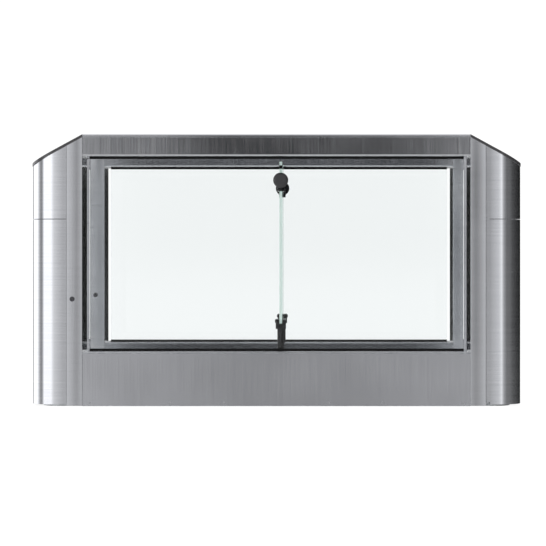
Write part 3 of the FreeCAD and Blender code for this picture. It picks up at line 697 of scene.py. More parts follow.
# ---- Towers ---------------------------------------------------------------------------------
@dataclass
class Tower:
    """One end of a cabinet: post, upper shell, door and cam lock."""

    cabinet: str
    end: str
    fold_radius: float = 1.2
    strip_bow: float = 0.4
    shell_bow: float = 1.0
    lock_side_reach: float = 1.6
    hinge_side_reach: float = 0.3
    lip: float = 3.8
    foot: float = 2.0
    upright_face: float = 0.9
    rim_softness: float = 0.5
    rim_angle: float = 60.0
    bow_places: tuple[float, ...] = (22.0, 30.0, 38.0, 46.0)
    door_low: float = 6.0
    door_high: float = 687.0
    shell_low: float = 689.0
    notch_width: float = 14.0
    notch_height: float = 8.0
    round_steps: int = 48
    lock_u: float = 751.0
    lock_z: float = 394.0
    lock_bore: float = 8.2
    cam_space: tuple[float, float] = (60.0, 78.0)
    cam_room: tuple[float, float] = (385.5, 429.5)

    @property
    def place(self) -> str:
        """Name of this tower in the record."""
        return f"{self.cabinet}_{self.end}"

    def put(self, shape: Shape) -> Shape:
        """Turn a shape drawn for the +X tower and move it to this tower."""
        return shape.turned((0, 0, 0), ENDS[self.end]).moved((0, CABINETS[self.cabinet], 0))

    def bowed(self, end: float) -> list[Point]:
        """Points of a strip's outer face, which bows out a little between its folds.

        Args:
            end: Edge of the strip, away from the opening.

        Returns:
            The points, from the opening's fold to the edge.
        """
        start = LAYOUT.inner + self.fold_radius
        return [(start + (end - start) * step / 6.0,
                 LAYOUT.half_thickness - self.strip_bow * (step / 3.0 - 1.0) ** 2)
                for step in range(1, 7)]

    def build_post(self) -> None:
        """Make the folded post with its two strips and its closing wall."""
        lay, rad = LAYOUT, self.fold_radius
        half, thick = lay.half_thickness, lay.sheet
        outer_end, wall = lay.inner + lay.strip, lay.inner + lay.strip - self.lip
        near = arc((lay.inner + rad, -half + rad), rad, 180, 270, 6)
        far = arc((lay.inner + rad, half - rad), rad, 90, 180, 6)
        lock_end = outer_end + self.lock_side_reach
        hinge_end = outer_end + self.hinge_side_reach
        outside = (self.bowed(lock_end)[::-1] + far + near
                   + [(u, -v) for u, v in self.bowed(hinge_end)])
        inside = [(hinge_end, -half + thick), (wall, -half + thick), (wall, half - thick),
                  (lock_end, half - thick)]
        shape = Shape()
        # The ends are closed with the folded sheet's own outline, open in the middle.
        hollow = [(lay.inner + thick, half - thick), (lay.inner + thick, -half + thick),
                  (wall - thick, -half + thick), (wall - thick, half - thick)]
        for outline in (outside + inside, hollow):
            shape.loft([lay.levelled(outline, level) for level in (self.foot, None)], 0, False)
        for level in (self.foot, None):
            self.rim(shape, outside, inside, hollow, level)
        self.put(shape)
        shape.bm.normal_update()
        for face in shape.bm.faces:
            face.material_index = int(abs(face.normal.x) > self.upright_face)
        post = shape.to_object(f"{self.place}_post_folded",
                               [Finishes.STEEL_LEVEL, Finishes.STEEL_UPRIGHT])
        openings = self.lock_openings()
        cut = post.modifiers.new("lock_openings", "BOOLEAN")
        cut.operation, cut.solver, cut.object = "DIFFERENCE", "EXACT", openings
        fit(post, "cabinets", "brushed_stainless", f"{self.place}_post")
        bpy.data.objects.remove(openings)

    def lock_openings(self) -> Object:
        """Make the cutter for the lock's bore and for the slot that its cam turns through.

        Returns:
            The cutter, which is removed after use.
        """
        lay, spare = LAYOUT, 1.0
        wall = lay.inner + lay.strip - self.lip
        shape = Shape()
        shape.lathe([(self.lock_bore, -lay.sheet - spare), (self.lock_bore, spare)],
                    (self.lock_u, lay.half_thickness, self.lock_z), (0, 1, 0), 40)
        shape.block((wall - lay.sheet - spare, self.cam_space[0], self.cam_room[0]),
                    (wall + spare, self.cam_space[1], self.cam_room[1]))
        return self.put(shape).to_object(f"{self.place}_lock_openings", [])

    def rim(self, shape: Shape, outside: list[Point], inside: list[Point],
            hollow: list[Point], level: float | None) -> None:
        """Close one end of the post between its outline and its hollow.

        Args:
            shape: Post under construction.
            outside: Outer outline.
            inside: Outline of the lips and the closing wall.
            hollow: Outline of the hollow.
            level: Height of the end, or None for the sloped top.
        """
        half = len(outside) // 2
        for points in (outside[:half] + [hollow[0], hollow[3], inside[2], inside[3]],
                       outside[half:-1] + [outside[-1], inside[0], inside[1], hollow[2],
                                           hollow[1]],
                       [outside[half - 1], outside[half], hollow[1], hollow[0]],
                       [hollow[3], hollow[2], inside[1], inside[2]]):
            shape.bm.faces.new([shape.bm.verts.new(point)
                                for point in LAYOUT.levelled(points, level)])

    def round_rows(self, low: float, high: float | None) -> list[Ring]:
        """Rows of points of a round shell's outer face, from edge to edge.

        Args:
            low: Lower edge.
            high: Upper edge, or None for the sloped one.

        Returns:
            Rows of points, one for each level.
        """
        lay = LAYOUT
        half, run = lay.half_thickness, lay.round_centre - lay.shell_start
        bowed = [(lay.shell_start + along, -half + self.shell_bow * (along / run) ** 2)
                 for along in (0.0, self.notch_width, *self.bow_places, run)]
        # The bow turns into the half-round end with no kink, at the same tip.
        tilt = 2.0 * self.shell_bow / run
        centre = lay.round_centre - half * tilt
        deep, long = half - self.shell_bow, lay.tip - centre
        first = math.degrees(math.asin((lay.round_centre - centre) / long))
        turns = [first + (180.0 - 2.0 * first) * step / self.round_steps
                 for step in range(1, self.round_steps)]
        curve = [(centre + long * math.sin(math.radians(t)),
                  -deep * math.cos(math.radians(t))) for t in turns]
        plan = bowed + curve + [(u, -v) for u, v in reversed(bowed)]
        return [lay.levelled(plan, level) for level in (low, high)]

    def shell(self, rows: list[Ring], skip: set[tuple[int, int]],
              name: str) -> Object:
        """Skin rows of points and give the sheet its thickness.

        Args:
            rows: Rows of points, from the bottom to the top.
            skip: Cells to leave out, by row and column.
            name: Name of the piece.

        Returns:
            The shell with its thickness and softened edges.
        """
        shape = Shape()
        verts = [[shape.bm.verts.new(point) for point in row] for row in rows]
        for row in range(len(rows) - 1):
            for column in range(len(rows[0]) - 1):
                if (row, column) not in skip:
                    shape.bm.faces.new((verts[row][column], verts[row][column + 1],
                                        verts[row + 1][column + 1], verts[row + 1][column]))
        loose = [vert for vert in shape.bm.verts if not vert.link_faces]
        bmesh.ops.delete(shape.bm, geom=loose, context="VERTS")
        piece = self.put(shape).to_object(name, [Finishes.STEEL_LEVEL])
        outward = piece.data.polygons[len(piece.data.polygons) // 2]
        middle = Vector((math.copysign(LAYOUT.round_centre * MM, outward.center.x),
                         CABINETS[self.cabinet] * MM, outward.center.z))
        if outward.normal.dot(outward.center - middle) < 0:
            piece.data.flip_normals()
        wall = piece.modifiers.new("sheet", "SOLIDIFY")
        wall.thickness = LAYOUT.sheet * MM
        wall.offset = -1.0
        wall.use_even_offset = True
        return soften(piece, self.rim_softness, self.rim_angle)

    def build_upper_shell(self) -> None:
        """Make the fixed round shell over the door."""
        rows = self.round_rows(self.shell_low, None)
        piece = self.shell(rows, set(), f"{self.place}_upper_shell_round")
        fit(piece, "cabinets", "brushed_stainless", f"{self.place}_upper_shell")

    def build_door(self) -> None:
        """Make the round door, notched at the foot of its hinge edge."""
        notch = self.door_low + self.notch_height
        low = self.round_rows(self.door_low, notch)
        rows = low + [self.round_rows(notch, self.door_high)[1]]
        piece = self.shell(rows, {(0, 0)}, f"{self.place}_door_round")
        fit(piece, f"{self.place}_door_body", "brushed_stainless", f"{self.place}_door")

    def build(self) -> None:
        """Make every piece of the tower."""
        self.build_post()
        self.build_upper_shell()
        self.build_door()


# ---- Beams and top plates -------------------------------------------------------------------
@dataclass
class Beam:
    """Top of a cabinet's frame: the folded channel and its lid."""

    cabinet: str
    low: float = 920.0
    high: float = 987.5
    lid_low: float = 989.0
    lip_radius: float = 6.0
    lid_radius: float = 4.5
    slot_half: float = 9.0
    slot_end: float = 695.3
    gap: float = 0.5
    leg_low: float = 973.5
    leg_gap: float = 0.3

    def half_section(self, side: int) -> list[Point]:
        """Section of one half of the channel, from the glass slot to the outer wall.

        Args:
            side: 1 or -1, the way the outer wall lies.

        Returns:
            Points across the lane and up.
        """
        half, thick, rad = LAYOUT.half_thickness, LAYOUT.sheet, self.lip_radius
        outer = arc((half - rad, self.low + rad), rad, -90, 0, 7)
        inner = arc((half - rad, self.low + rad), rad - thick, 0, -90, 5)
        points = ([(self.slot_half, self.low)] + outer + [(half, self.high),
                  (half - thick, self.high)] + inner + [(self.slot_half, self.low + thick)])
        return [(CABINETS[self.cabinet] + side * v, z) for v, z in points]

    def build_channel(self) -> None:
        """Make the channel, slotted below for the fixed pane."""
        shape = Shape()
        end = LAYOUT.inner - self.gap
        middle = CABINETS[self.cabinet]
        for side in (-1, 1):
            shape.prism(self.half_section(side), -end, end, 0)
            start, stop = sorted((side * self.slot_end, side * end))
            shape.block((start, middle - self.slot_half, self.low),
                        (stop, middle + self.slot_half, self.low + LAYOUT.sheet))
        piece = shape.to_object(f"{self.cabinet}_beam_channel", [Finishes.STEEL_UPRIGHT])
        fit(piece, "cabinets", "brushed_stainless", f"{self.cabinet}_top_beam")

    def build_lid(self) -> None:
        """Make the lid with its two legs."""
        half, thick, rad = LAYOUT.half_thickness, LAYOUT.sheet, self.lid_radius
        top, end, middle = LAYOUT.height, LAYOUT.inner - self.gap, CABINETS[self.cabinet]
        outer = arc((half - rad, top - rad), rad, 0, 90, 6)
        inner = arc((half - rad, top - rad), rad - thick, 90, 0, 4)
        right = [(half, self.lid_low)] + outer
        left = [(-v, z) for v, z in reversed(right)]
        back = inner + [(half - thick, self.lid_low)]
        points = right + left + [(-v, z) for v, z in reversed(back)] + back
        shape = Shape()
        shape.prism([(middle + v, z) for v, z in points], -end, end, 0)
        leg_outer = half - thick - self.leg_gap
        for side in (-1, 1):
            low, high = sorted((side * (leg_outer - thick), side * leg_outer))
            shape.block((-end, middle + low, self.leg_low),
                        (end, middle + high, top - thick))
        piece = shape.to_object(f"{self.cabinet}_beam_lid", [Finishes.STEEL_LENGTHWISE])
        fit(piece, "cabinets", "brushed_stainless", "top_plates")

    def build(self) -> None:
        """Make the channel and the lid."""
        self.build_channel()
        self.build_lid()


# ---- Glass ----------------------------------------------------------------------------------
def inset(outline: Sequence[Point], depth: float) -> list[Point]:
    """Move an anticlockwise outline inwards.

    Args:
        outline: Corners.
        depth: Distance.

    Returns:
        The corners of the smaller outline.
    """
    moved = []
    for here, point in enumerate(outline):
        before = Vector(point) - Vector(outline[here - 1])
        after = Vector(outline[(here + 1) % len(outline)]) - Vector(point)
        first = Vector((-before.y, before.x)).normalized()
        second = Vector((-after.y, after.x)).normalized()
        mitre = first + second
        step = mitre * (2.0 * depth / max(mitre.length_squared, 0.5))
        moved.append((point[0] + step.x, point[1] + step.y))
    return moved


@dataclass
class Pane:
    """Sheet of toughened glass with ground, chamfered edges."""

    name: str
    body: str
    node: str
    outline: list[Point]
    low: float
    high: float
    axis: int
    chamfer: float = 1.0

    def build(self) -> None:
        """Make the pane."""
        shape = Shape()
        small = inset(self.outline, self.chamfer)
        shape.loft([raised(points, level, self.axis) for points, level in (
            (small, self.low), (self.outline, self.low + self.chamfer),
            (self.outline, self.high - self.chamfer), (small, self.high))], 1)
        for face in shape.bm.faces:
            if len(face.verts) == len(self.outline):
                face.material_index = 0
        piece = shape.to_object(self.name, [Finishes.GLASS, Finishes.EDGE], 20.0)
        fit(piece, self.body, "clear_glass", self.node)


@dataclass
class FixedPane:
    """Infill pane between the beam and the lower box."""

    cabinet: str
    half_length: float = 695.0
    low: float = 165.0
    high: float = 950.0

    def build(self) -> None:
        """Make the pane."""
        middle = CABINETS[self.cabinet]
        outline = [(-self.half_length, self.low), (self.half_length, self.low),
                   (self.half_length, self.high), (-self.half_length, self.high)]
        Pane(f"{self.cabinet}_infill_pane", "cabinets", f"{self.cabinet}_infill_glass", outline,
             middle - LAYOUT.half_pane, middle + LAYOUT.half_pane, 1).build()


# ---- Leaf -----------------------------------------------------------------------------------
@dataclass
class Leaf:
    """Swinging leaf with its post and upper pivot."""

    cabinet: str
    glass_back: float = -10.0
    glass_free: float = 340.0
    glass_low: float = 300.0
    glass_high: float = 905.0
    corner: float = 40.0
    notch_low: float = 790.0
    notch_high: float = 867.0
    notch_depth: float = 22.0
    post_radius: float = 13.0
    post_low: float = 11.3
    post_high: float = 280.0
    foot_radius: float = 10.0
    foot_low: float = 4.0
    spigot_radius: float = 8.0
    spigot_high: float = 292.0
    disc_radius: float = 28.0
    disc_height: float = 834.0

    @property
    def body(self) -> str:
        """Body that turns with the leaf."""
        return f"{self.cabinet}_leaf"

    def put(self, shape: Shape) -> Shape:
        """Turn a shape drawn for cabinet a's leaf to this leaf."""
        return shape.turned((LAYOUT.leaf_x, 0, 0), 180.0 if self.cabinet == "b" else 0.0)

    def build_glass(self) -> None:
        """Make the swinging pane, notched at the hinge and rounded at its free corners."""
        back, free = self.glass_back, self.glass_free
        low, high, rad = self.glass_low, self.glass_high, self.corner
        points = [(back, low), (free - rad, low)]
        points += arc((free - rad, low + rad), rad, -90, 0, 14)[1:]
        points += arc((free - rad, high - rad), rad, 0, 90, 14)
        points += [(back, high), (back, self.notch_high), (self.notch_depth, self.notch_high),
                   (self.notch_depth, self.notch_low), (back, self.notch_low)]
        side = -1.0 if self.cabinet == "b" else 1.0
        outline = [(side * (LAYOUT.leaf_y + y), z) for y, z in points]
        if side < 0:
            outline.reverse()
        Pane(f"{self.cabinet}_leaf_pane", self.body, f"{self.cabinet}_leaf_glass", outline,
             LAYOUT.leaf_x - LAYOUT.half_pane, LAYOUT.leaf_x + LAYOUT.half_pane, 0).build()

    def build_post(self) -> None:
        """Make the turned post with its shoulders."""
        rad = self.post_radius
        profile = [(0.0, self.foot_low), (self.foot_radius - 0.6, self.foot_low),
                   (self.foot_radius, self.foot_low + 0.6), (self.foot_radius, self.post_low),
                   (rad - 0.8, self.post_low), (rad, self.post_low + 0.8),
                   (rad, self.post_high - 2.6), (rad - 0.7, self.post_high - 2.2),
                   (rad - 0.7, self.post_high - 1.4), (rad, self.post_high - 1.0),
                   (rad, self.post_high), (self.spigot_radius, self.post_high),
                   (self.spigot_radius, self.spigot_high - 0.6),
                   (self.spigot_radius - 0.6, self.spigot_high), (0.0, self.spigot_high)]
        shape = Shape()
        shape.lathe(profile, (LAYOUT.leaf_x, LAYOUT.leaf_y, 0.0), sides=56)
        piece = self.put(shape).to_object(f"{self.cabinet}_leaf_post_turned",
                                          [Finishes.HARDWARE])
        fit(piece, self.body, "black_hardware", f"{self.cabinet}_leaf_post")

    def disc(self) -> Shape:
        """Outline of the outer disc on the fixed pane, with its raised flat centre.

        Returns:
            The disc as a shape.
        """
        rad = self.disc_radius
        profile = [(8.1, 4.0), (8.1, 0.0), (rad - 0.8, 0.0), (rad, 0.8), (rad, 5.2),
                   (rad - 0.5, 6.0), (rad - 4.5, 7.6), (20.6, 8.6), (19.8, 9.1), (19.0, 9.3),
                   (0.0, 9.3)]
        shape = Shape()
        face = -LAYOUT.lane_half - LAYOUT.half_pane
        shape.lathe(profile, (LAYOUT.leaf_x, face, self.disc_height), (0, -1, 0), 72)
        return self.put(shape)

    def build(self) -> None:
        """Make the leaf's pieces."""
        self.build_glass()
        self.build_post()
        piece = self.disc().to_object(f"{self.cabinet}_pivot_disc_domed", [Finishes.DISC])
        fit(piece, "cabinets", "black_hardware", "pivot_discs")


# ---- Parts that repeat ----------------------------------------------------------------------
@dataclass
class Repeated:
    """Unit shape set out on marked places by a Geometry Nodes tree.

    Every place carries the way that its unit faces, in an attribute named outward.
    """

    name: str
    finish: Finish
    places: list[tuple[Vector, Vector]]

    def sizes(self) -> dict[str, float]:
        """Named sizes of the unit in millimetres."""
        raise NotImplementedError

    def unit(self, tree: Tree, given: dict[str, Socket]) -> tuple[Node, str]:
        """Make the unit.

        Args:
            tree: Tree that takes the nodes.
            given: The tree's named inputs.

        Returns:
            The unit's node and the name of the axis that faces outwards.
        """
        raise NotImplementedError

    def build(self) -> Object:
        """Set the units out.

        Returns:
            One plain mesh object.
        """
        tree = bpy.data.node_groups.new(self.name, "GeometryNodeTree")
        tree.interface.new_socket("Places", in_out="INPUT", socket_type="NodeSocketGeometry")
        named = {name: tree.interface.new_socket(name, in_out="INPUT",
                                                 socket_type="NodeSocketFloat").identifier
                 for name in self.sizes()}
        tree.interface.new_socket("Units", in_out="OUTPUT", socket_type="NodeSocketGeometry")
        given = add(tree, "NodeGroupInput").outputs
        unit, axis = self.unit(tree, given)
        facing = add(tree, "GeometryNodeInputNamedAttribute", {"Name": "outward"},
                     data_type="FLOAT_VECTOR")
        turn = add(tree, "FunctionNodeAlignRotationToVector", {"Vector": facing}, axis=axis)
        spread = add(tree, "GeometryNodeInstanceOnPoints", {
            "Points": given["Places"], "Instance": unit, "Rotation": turn})
        real = add(tree, "GeometryNodeRealizeInstances", (spread,))
        dressed = add(tree, "GeometryNodeSetMaterial", {
            "Geometry": real, "Material": Finishes.get(self.finish)})
        add(tree, "NodeGroupOutput", (dressed,))
        mesh = bpy.data.meshes.new(self.name)
        mesh.from_pydata([place * MM for place, _ in self.places], [], [])
        outward = mesh.attributes.new("outward", "FLOAT_VECTOR", "POINT")
        for here, (_, way) in enumerate(self.places):
            outward.data[here].vector = way
        piece = place_object(self.name, mesh)
        maker = piece.modifiers.new("set_out", "NODES")
        maker.node_group = tree
        for name, size in self.sizes().items():
            maker[named[name]] = size * MM
        graph = bpy.context.evaluated_depsgraph_get()
        made = bpy.data.meshes.new_from_object(piece.evaluated_get(graph), depsgraph=graph)
        piece.modifiers.clear()
        piece.data = made
        smooth(made, 28.0)
        return piece


@dataclass
class ButtonScrews(Repeated):
    """Button-head screws with hexagon sockets."""

    head_radius: float = 4.0
    head_height: float = 1.4
    socket_width: float = 2.5
    crown: float = 0.72
    half_width_to_corner: float = 0.577
    socket_lift: float = 0.35

    def sizes(self) -> dict[str, float]:
        """Named sizes of a head."""
        return {"Head Radius": self.head_radius, "Head Height": self.head_height,
                "Socket Width": self.socket_width}

    def unit(self, tree: Tree, given: dict[str, Socket]) -> tuple[Node, str]:
        """Make one head with its socket.

        Args:
            tree: Tree that takes the nodes.
            given: The tree's named inputs.

        Returns:
            The head's node and the axis that faces outwards.
        """
        top, corner, lift = (
            add(tree, "ShaderNodeMath", (given[name], share), operation="MULTIPLY")
            for name, share in (("Head Radius", self.crown),
                                ("Socket Width", self.half_width_to_corner),
                                ("Head Height", self.socket_lift)))
        head, bit = (
            add(tree, "GeometryNodeMeshCone", {
                "Vertices": sides, "Radius Bottom": low, "Radius Top": high,
                "Depth": given["Head Height"]})
            for sides, low, high in ((28, given["Head Radius"], top), (6, corner, corner)))
        offset = add(tree, "ShaderNodeCombineXYZ", {"Z": lift})
        raised_bit = add(tree, "GeometryNodeTransform", {
            "Geometry": bit, "Translation": offset})
        return add(tree, "GeometryNodeMeshBoolean", (head, raised_bit),
                   operation="DIFFERENCE"), "Z"


@dataclass
class BeltTeeth(Repeated):
    """Teeth moulded on the inside of a timing belt."""

    along: float = 2.4
    height: float = 1.1
    width: float = 15.6

    def sizes(self) -> dict[str, float]:
        """Named sizes of a tooth."""
        return {"Height": self.height, "Along": self.along, "Width": self.width}

    def unit(self, tree: Tree, given: dict[str, Socket]) -> tuple[Node, str]:
        """Make one tooth.

        Args:
            tree: Tree that takes the nodes.
            given: The tree's named inputs.

        Returns:
            The tooth's node and the axis that faces outwards.
        """
        size = add(tree, "ShaderNodeCombineXYZ", [given[name] for name in self.sizes()])
        return add(tree, "GeometryNodeMeshCube", {"Size": size}), "X"


@dataclass
class SidePanelScrews:
    """Row of screws along the foot of each side panel."""

    cabinet: str
    places: tuple[float, ...] = (-686.0, -391.0, -193.0, 193.0, 391.0, 686.0)
    height: float = 12.0

    def build(self) -> None:
        """Make the heads on both faces of the cabinet."""
        middle = CABINETS[self.cabinet]
        places = [(Vector((u, middle + side * LAYOUT.half_thickness, self.height)),
                   Vector((0.0, side, 0.0))) for u in self.places for side in (-1.0, 1.0)]
        piece = ButtonScrews(f"{self.cabinet}_panel_screw_heads", Finishes.FASTENER,
                             places).build()
        fit(piece, "cabinets", "fastener_steel", "panel_screws")


@dataclass
class LeafFixings:
    """Screws of the clamp and of the hinge jaws, and the clip on the pane's edge."""

    cabinet: str
    clamp_places: tuple[float, ...] = (8.0, 44.0)
    clamp_height: float = 308.0
    clamp_half: float = 19.0
    clamp_screw: tuple[float, ...] = (6.5, 3.0, 5.0)
    jaw_place: float = 42.0
    jaw_heights: tuple[float, ...] = (807.0, 850.0)
    jaw_half: float = 13.0
    jaw_screw: tuple[float, ...] = (5.0, 1.5, 3.0)
    clip_low: float = 878.0
    clip_high: float = 891.0
    clip_wall: float = 1.5
    clip_reach: float = 14.0

    def heads(self, name: str, along: float, heights: Sequence[float], half: float,
              screw: Sequence[float]) -> None:
        """Make the heads at one distance from the leaf's axis, on both of its faces.

        Args:
            name: Name of the piece.
            along: Distance from the axis.
            heights: Heights above the floor.
            half: Distance of the seats from the middle of the pane.
            screw: Radius and height of a head, and width across its socket's flats.
        """
        sign = -1.0 if self.cabinet == "b" else 1.0
        places = [(Vector((LAYOUT.leaf_x + side * half, sign * (LAYOUT.leaf_y + along), z)),
                   Vector((side, 0.0, 0.0))) for z in heights for side in (-1.0, 1.0)]
        piece = ButtonScrews(f"{self.cabinet}_{name}", Finishes.HARDWARE, places,
                             *screw).build()
        fit(piece, f"{self.cabinet}_leaf", "fastener_steel", f"{self.cabinet}_leaf_fixings")

    def build(self) -> None:
        """Make the screws and the clip."""
        for number, along in enumerate(self.clamp_places):
            self.heads(f"clamp_screws_{number}", along, (self.clamp_height,),
                       self.clamp_half, self.clamp_screw)
        self.heads("jaw_screws", self.jaw_place, self.jaw_heights, self.jaw_half,
                   self.jaw_screw)
        leaf = Leaf(self.cabinet)
        back = LAYOUT.leaf_y + leaf.glass_back
        half, wall, reach = LAYOUT.half_pane, self.clip_wall, self.clip_reach
        outline = [(-half - wall, back - wall), (half + wall, back - wall),
                   (half + wall, back + reach), (half, back + reach), (half, back),
                   (-half, back), (-half, back + reach), (-half - wall, back + reach)]
        shape = Shape()
        shape.prism([(LAYOUT.leaf_x + x, y) for x, y in outline], self.clip_low,
                    self.clip_high)
        piece = leaf.put(shape).to_object(f"{self.cabinet}_leaf_clip", [Finishes.HARDWARE])
        soften(piece, 0.4)
        fit(piece, leaf.body, "fastener_steel", f"{self.cabinet}_leaf_fixings")


@dataclass
class Drive:
    """Timing belt from the gearmotor to the leaf's pulley, and the motor's ribbed case."""

    cabinet: str
    motor_x: float = -100.0
    leaf_rim: float = 28.0
    motor_rim: float = 14.0
    low: float = 152.0
    high: float = 168.0
    tooth_gap: float = 0.3
    tooth_height: float = 1.1
    back_thickness: float = 1.4
    tooth_pitch: float = 5.0
    case_radius: float = 29.0
    case_low: float = 34.0
    case_high: float = 138.0
    ribs: int = 12
    rib_low: float = 38.0
    rib_pitch: float = 4.6

    def loop(self, gap: float, pitch: float) -> list[tuple[Vector, Vector]]:
        """Points round both rims, each with its way out.

        Args:
            gap: Distance from the rims.
            pitch: Greatest distance between the points.

        Returns:
            Points at the belt's middle height and unit vectors.
        """
        big, small = self.leaf_rim + gap, self.motor_rim + gap
        span = LAYOUT.leaf_x - self.motor_x
        lean = math.degrees(math.asin((big - small) / span))
        legs = []
        for centre, radius, start, end in (
                (LAYOUT.leaf_x, big, -90.0 - lean, 90.0 + lean),
                (self.motor_x, small, 90.0 + lean, 270.0 - lean)):
            length = math.radians(end - start) * radius
            steps = max(6, round(length / pitch))
            legs.append([((centre + radius * math.cos(a), radius * math.sin(a)),
                          (math.cos(a), math.sin(a)))
                         for a in (math.radians(start + (end - start) * step / steps)
                                   for step in range(steps + 1))])
        points = []
        for leg, after in ((legs[0], legs[1]), (legs[1], legs[0])):
            points += leg
            (x0, y0), out = leg[-1]
            (x1, y1), _ = after[0]
            steps = max(1, round(math.hypot(x1 - x0, y1 - y0) / pitch))
            points += [((x0 + (x1 - x0) * step / steps, y0 + (y1 - y0) * step / steps), out)
                       for step in range(1, steps)]
        height = (self.low + self.high) / 2.0
        return [(Vector((x, LAYOUT.leaf_y + y, height)), Vector((out[0], out[1], 0.0)))
                for (x, y), out in points]

    def placed(self, points: list[tuple[Vector, Vector]]) -> list[tuple[Vector, Vector]]:
        """Turn cabinet a's points to this cabinet's leaf.

        Args:
            points: Points and unit vectors for cabinet a.

        Returns:
            The same for this cabinet.
        """
        if self.cabinet == "a":
            return points
        middle = LAYOUT.leaf_x
        return [(Vector((2 * middle - place.x, -place.y, place.z)), -way)
                for place, way in points]

    def build_belt(self) -> None:
        """Make the belt's back and its teeth."""
        inner = self.placed(self.loop(self.tooth_gap + self.tooth_height, 6.0))
        rings = []
        for place, way in inner:
            outer = place + way * self.back_thickness
            rings.append([(place.x, place.y, self.low), (place.x, place.y, self.high),
                          (outer.x, outer.y, self.high), (outer.x, outer.y, self.low)])
        shape = Shape()
        shape.loft(rings, 0, False, True)
        back = shape.to_object(f"{self.cabinet}_belt_back", [Finishes.RUBBER])
        fit(back, "cabinets", "black_rubber", "drive_belts")
        middle = self.tooth_gap + self.tooth_height / 2.0
        teeth = BeltTeeth(f"{self.cabinet}_belt_teeth", Finishes.RUBBER,
                          self.placed(self.loop(middle, self.tooth_pitch)),
                          height=self.tooth_height + 0.1).build()
        fit(teeth, "cabinets", "black_rubber", "drive_belts")

    def build_motor(self) -> None:
        """Make the motor's case with its cooling ribs and the gearbox above."""
        rad = self.case_radius
        profile = [(0.0, self.case_low), (rad - 3.0, self.case_low), (rad - 1.0, 36.0)]
        for rib in range(self.ribs):
            level = self.rib_low + rib * self.rib_pitch
            profile += [(rad - 2.4, level), (rad - 2.4, level + 2.0), (rad - 0.2, level + 2.3),
                        (rad - 0.2, level + 4.3)]
        profile += [(rad - 1.4, 96.0), (rad - 1.4, 99.0), (rad, 99.6), (rad, 103.0),
                    (rad - 2.0, 103.6), (rad - 2.0, 133.0), (rad, 133.6),
                    (rad, self.case_high - 0.6), (rad - 0.6, self.case_high),
                    (8.0, self.case_high)]
        shape = Shape()
        shape.lathe(profile, (self.motor_x, LAYOUT.leaf_y, 0.0), sides=48)
        piece = Leaf(self.cabinet).put(shape).to_object(f"{self.cabinet}_gearmotor_case",
                                                        [Finishes.MODULE])
        fit(piece, "cabinets", "module_metal", "gearmotors")

    def build(self) -> None:
        """Make the belt and the motor."""
        self.build_belt()
        self.build_motor()


# ---- Softened copies ------------------------------------------------------------------------
@dataclass
class SoftenedNodes:
    """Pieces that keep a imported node's shape and get the rounded edges of a real part."""

    nodes: dict[str, Object]
    merge_mm: float = 0.02

    def build(self, node: str, name: str, finish: Finish, width: float) -> None:
        """Copy a node with merged corners and bevelled edges.

        Args:
            node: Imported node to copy.
            name: Name of the piece.
            finish: Finish of the piece.
            width: Width of the bevel in millimetres.
        """
        source = self.nodes[node]
        body, slot = source["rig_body"], source.data.materials[0].name.split(".")[0]
        shape = bmesh.new()
        shape.from_mesh(source.data)
        bmesh.ops.remove_doubles(shape, verts=shape.verts, dist=self.merge_mm * MM)
        bmesh.ops.dissolve_limit(shape, angle_limit=math.radians(1.0), verts=shape.verts,
                                 edges=shape.edges)
        mesh = bpy.data.meshes.new(name)
        shape.to_mesh(mesh)
        shape.free()
        smooth(mesh, 35.0)
        mesh.materials.append(Finishes.get(finish))
        piece = place_object(name, mesh)
        soften(piece, width)
        fit(piece, body, slot, node)


# ---- Carried-over nodes ---------------------------------------------------------------------
@dataclass
class CarriedNodes:
    """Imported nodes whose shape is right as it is, dressed in their finishes."""

    nodes: dict[str, Object]
    by_slot: dict[str, Finish] = field(default_factory=lambda: {
        "brushed_stainless": Finishes.STEEL_PANEL, "zinc_steel": Finishes.ZINC,
        "black_hardware": Finishes.HARDWARE, "cap_black": Finishes.CAP,
        "clear_glass": Finishes.GLASS, "black_rubber": Finishes.RUBBER,
        "lock_chrome": Finishes.CHROME, "fastener_steel": Finishes.FASTENER,
        "pulley_aluminium": Finishes.ALUMINIUM, "bearing_steel": Finishes.BEARING,
        "module_plastic": Finishes.ABS, "module_metal": Finishes.MODULE})
    by_node: dict[str, Finish] = field(default_factory=lambda: {
        "top_plates": Finishes.STEEL_LENGTHWISE, "lower_covers": Finishes.STEEL_LENGTHWISE})

    def dress(self) -> None:
        """Give each shown node the finish for its slot."""
        for name, node in sorted(self.nodes.items()):
            if node.hide_render:
                continue
            slot = node.data.materials[0].name.split(".")[0]
            finish = self.by_node.get(name, self.by_slot[slot])
            node.material_slots[0].material = Finishes.get(finish)
            LOG.info("%s carried over in %s", name, finish.name)


